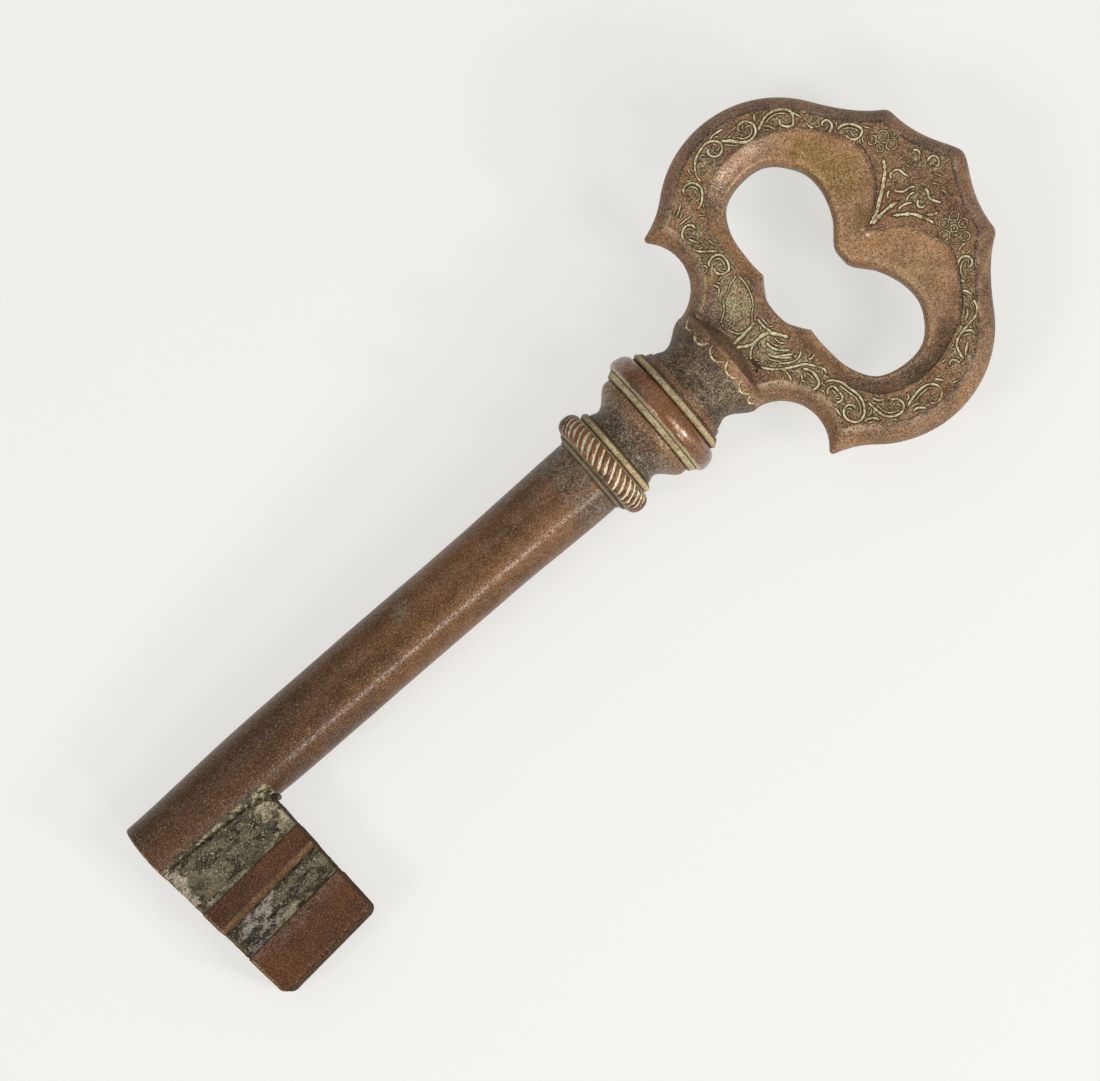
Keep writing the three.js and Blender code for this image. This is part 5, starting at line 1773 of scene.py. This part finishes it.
def petal_cuts(offset):
    """Every second petal of the border round the flare: an uneven arc that opens towards the bow."""
    paths = []
    for k in range(offset, PETALS, 2):
        jog = noise.noise_vector(Vector((k * 1.37, 0.5, 2)))
        middle = FULL_TURN * (k + 0.12 * jog.x) / PETALS
        reach = (PETAL_TIP - PETAL_FOOT) * (1 + 0.2 * jog.y)
        points = []
        for i in range(PETAL_STEPS + 1):
            angle = math.pi * (0.04 + 0.07 * (1 + jog.z) + 0.8 * i / PETAL_STEPS)
            station = PETAL_TIP + 0.35 * jog.z - reach * math.sin(angle)
            turn = middle + math.cos(angle) * FULL_TURN / PETALS * PETAL_SPREAD
            radius = neck_radius(station) + PETAL_LIFT
            half = PETAL_HALF_WIDTH * (0.3 + 0.7 * glide(min(i, PETAL_STEPS - i) / 5))
            points.append((
                (neck_foot + station, radius * math.cos(turn), radius * math.sin(turn)), half))
        paths.append((points, False))
    return paths


def engraved(thing):
    """Cuts the scrolls, flowers, shield and petal border into the bow."""
    materials = engraving_fill(), engraving_shade()
    cuts = all_cuts()
    section = cut_shade_section()
    # A shallow step in the dark finish along each side of every cut: painted shade.
    cut_shade_paths = [([(p, half + CUT_SHADE_WIDTH) for p, half in path], closed) for path, closed in cuts]
    for group in rounds_of(cut_shade_paths):
        paths = [
            ([((p.x, p.y, face * BOW_THICKNESS / 2), half) for p, half in path], closed)
            for path, closed in group for face in (1, -1)]
        combined(thing, tube_cutter(paths, materials, section), "DIFFERENCE")
    bpy.data.objects.remove(section)
    for group in rounds_of(cuts):
        paths = [(face_tube(path, face), closed) for path, closed in group for face in (1, -1)]
        combined(thing, tube_cutter(paths, materials), "DIFFERENCE")
    combined(thing, stipple(materials[0]), "DIFFERENCE")
    for offset in (0, 1):
        combined(thing, tube_cutter(petal_cuts(offset), materials), "DIFFERENCE")


# Stage: the key lies on its bit's toe, the end of its shank and its thickest ring.

def floor():
    """White paper that glows to the camera and in reflections, and isn't seen from behind."""
    normal = FLOOR_NORMAL.normalized()
    bm = bmesh.new()
    bmesh.ops.create_grid(bm, x_segments=1, y_segments=1, size=FLOOR_HALF)
    turn = Vector((0, 0, 1)).rotation_difference(-normal).to_matrix().to_4x4()
    bmesh.ops.transform(bm, verts=bm.verts, matrix=Matrix.Translation(normal * FLOOR_DISTANCE) @ turn)
    surface = Surface("floor_paper")
    paper = surface.node("ShaderNodeBsdfPrincipled", inputs={
        "Base Color": PAPER, "Roughness": 0.9, "Specular IOR Level": 0.0})
    glow = surface.node("ShaderNodeEmission", inputs={"Color": PAPER_SEEN, "Strength": 1})
    clear = surface.node("ShaderNodeBsdfTransparent")
    rays = [surface.node("ShaderNodeLightPath", output=f"Is {kind} Ray") for kind in SEEING_RAYS]
    seen = rays[0].most(rays[1]).most(rays[2])
    shown = surface.node("ShaderNodeMixShader", inputs=[seen * PAPER_GLOW, paper, glow])
    behind = surface.node("ShaderNodeNewGeometry", output="Backfacing")
    both = surface.node("ShaderNodeMixShader", inputs=[behind, shown, clear])
    surface.node("ShaderNodeOutputMaterial", inputs=[both])
    thing = placed(bm, "floor", surface.material)
    thing.data.transform(Matrix.Scale(MM, 4))


def lamp(name, direction, size, power, colour):
    light = bpy.data.lights.new(name, "AREA")
    light.shape = "DISK"
    light.size = size
    light.energy = power
    light.color = colour
    thing = bpy.data.objects.new(name, light)
    bpy.context.scene.collection.objects.link(thing)
    place = Vector(direction).normalized() * LAMP_DISTANCE
    thing.location = place
    thing.rotation_euler = place.to_track_quat("Z", "Y").to_euler()


def world():
    made = bpy.data.worlds.new("studio")
    bpy.context.scene.world = made
    made.use_nodes = True
    tree = made.node_tree
    tree.nodes.clear()
    background = tree.nodes.new("ShaderNodeBackground")
    background.inputs["Color"].default_value = WORLD_COLOUR
    background.inputs["Strength"].default_value = WORLD_STRENGTH
    output = tree.nodes.new("ShaderNodeOutputWorld")
    tree.links.new(background.outputs[0], output.inputs[0])


def camera():
    made = bpy.data.cameras.new("photo")
    made.lens = CAMERA_LENS
    made.sensor_width = CAMERA_SENSOR
    made.clip_end = CAMERA_CLIP * MM
    thing = bpy.data.objects.new("photo", made)
    bpy.context.scene.collection.objects.link(thing)
    roll = math.radians(CAMERA_ROLL)
    right = Vector((math.cos(roll), -math.sin(roll), 0))
    up = Vector((math.sin(roll), math.cos(roll), 0))
    turn = Matrix.Rotation(math.radians(CAMERA_PAN), 3, up) @ Matrix.Rotation(
        math.radians(CAMERA_TILT), 3, right)
    axes = Matrix((turn @ right, turn @ up, turn @ Vector((0, 0, 1)))).transposed()
    place = CAMERA_AIM + axes.col[2] * CAMERA_DISTANCE
    thing.matrix_world = Matrix.Translation(place * MM) @ axes.to_4x4()
    bpy.context.scene.camera = thing


shank()
lip_ring()
rope_ring()
spool_foot_ring()
collar_spool()
torus_seat_ring()
torus_ring()
neck_ring()
bow()
bit()
braze_seam(1, "bit_braze_front")
braze_seam(-1, "bit_braze_back")
braze_heel()

floor()
for settings in LAMPS:
    lamp(*settings)
world()
camera()
bpy.context.scene.view_settings.view_transform = "Standard"
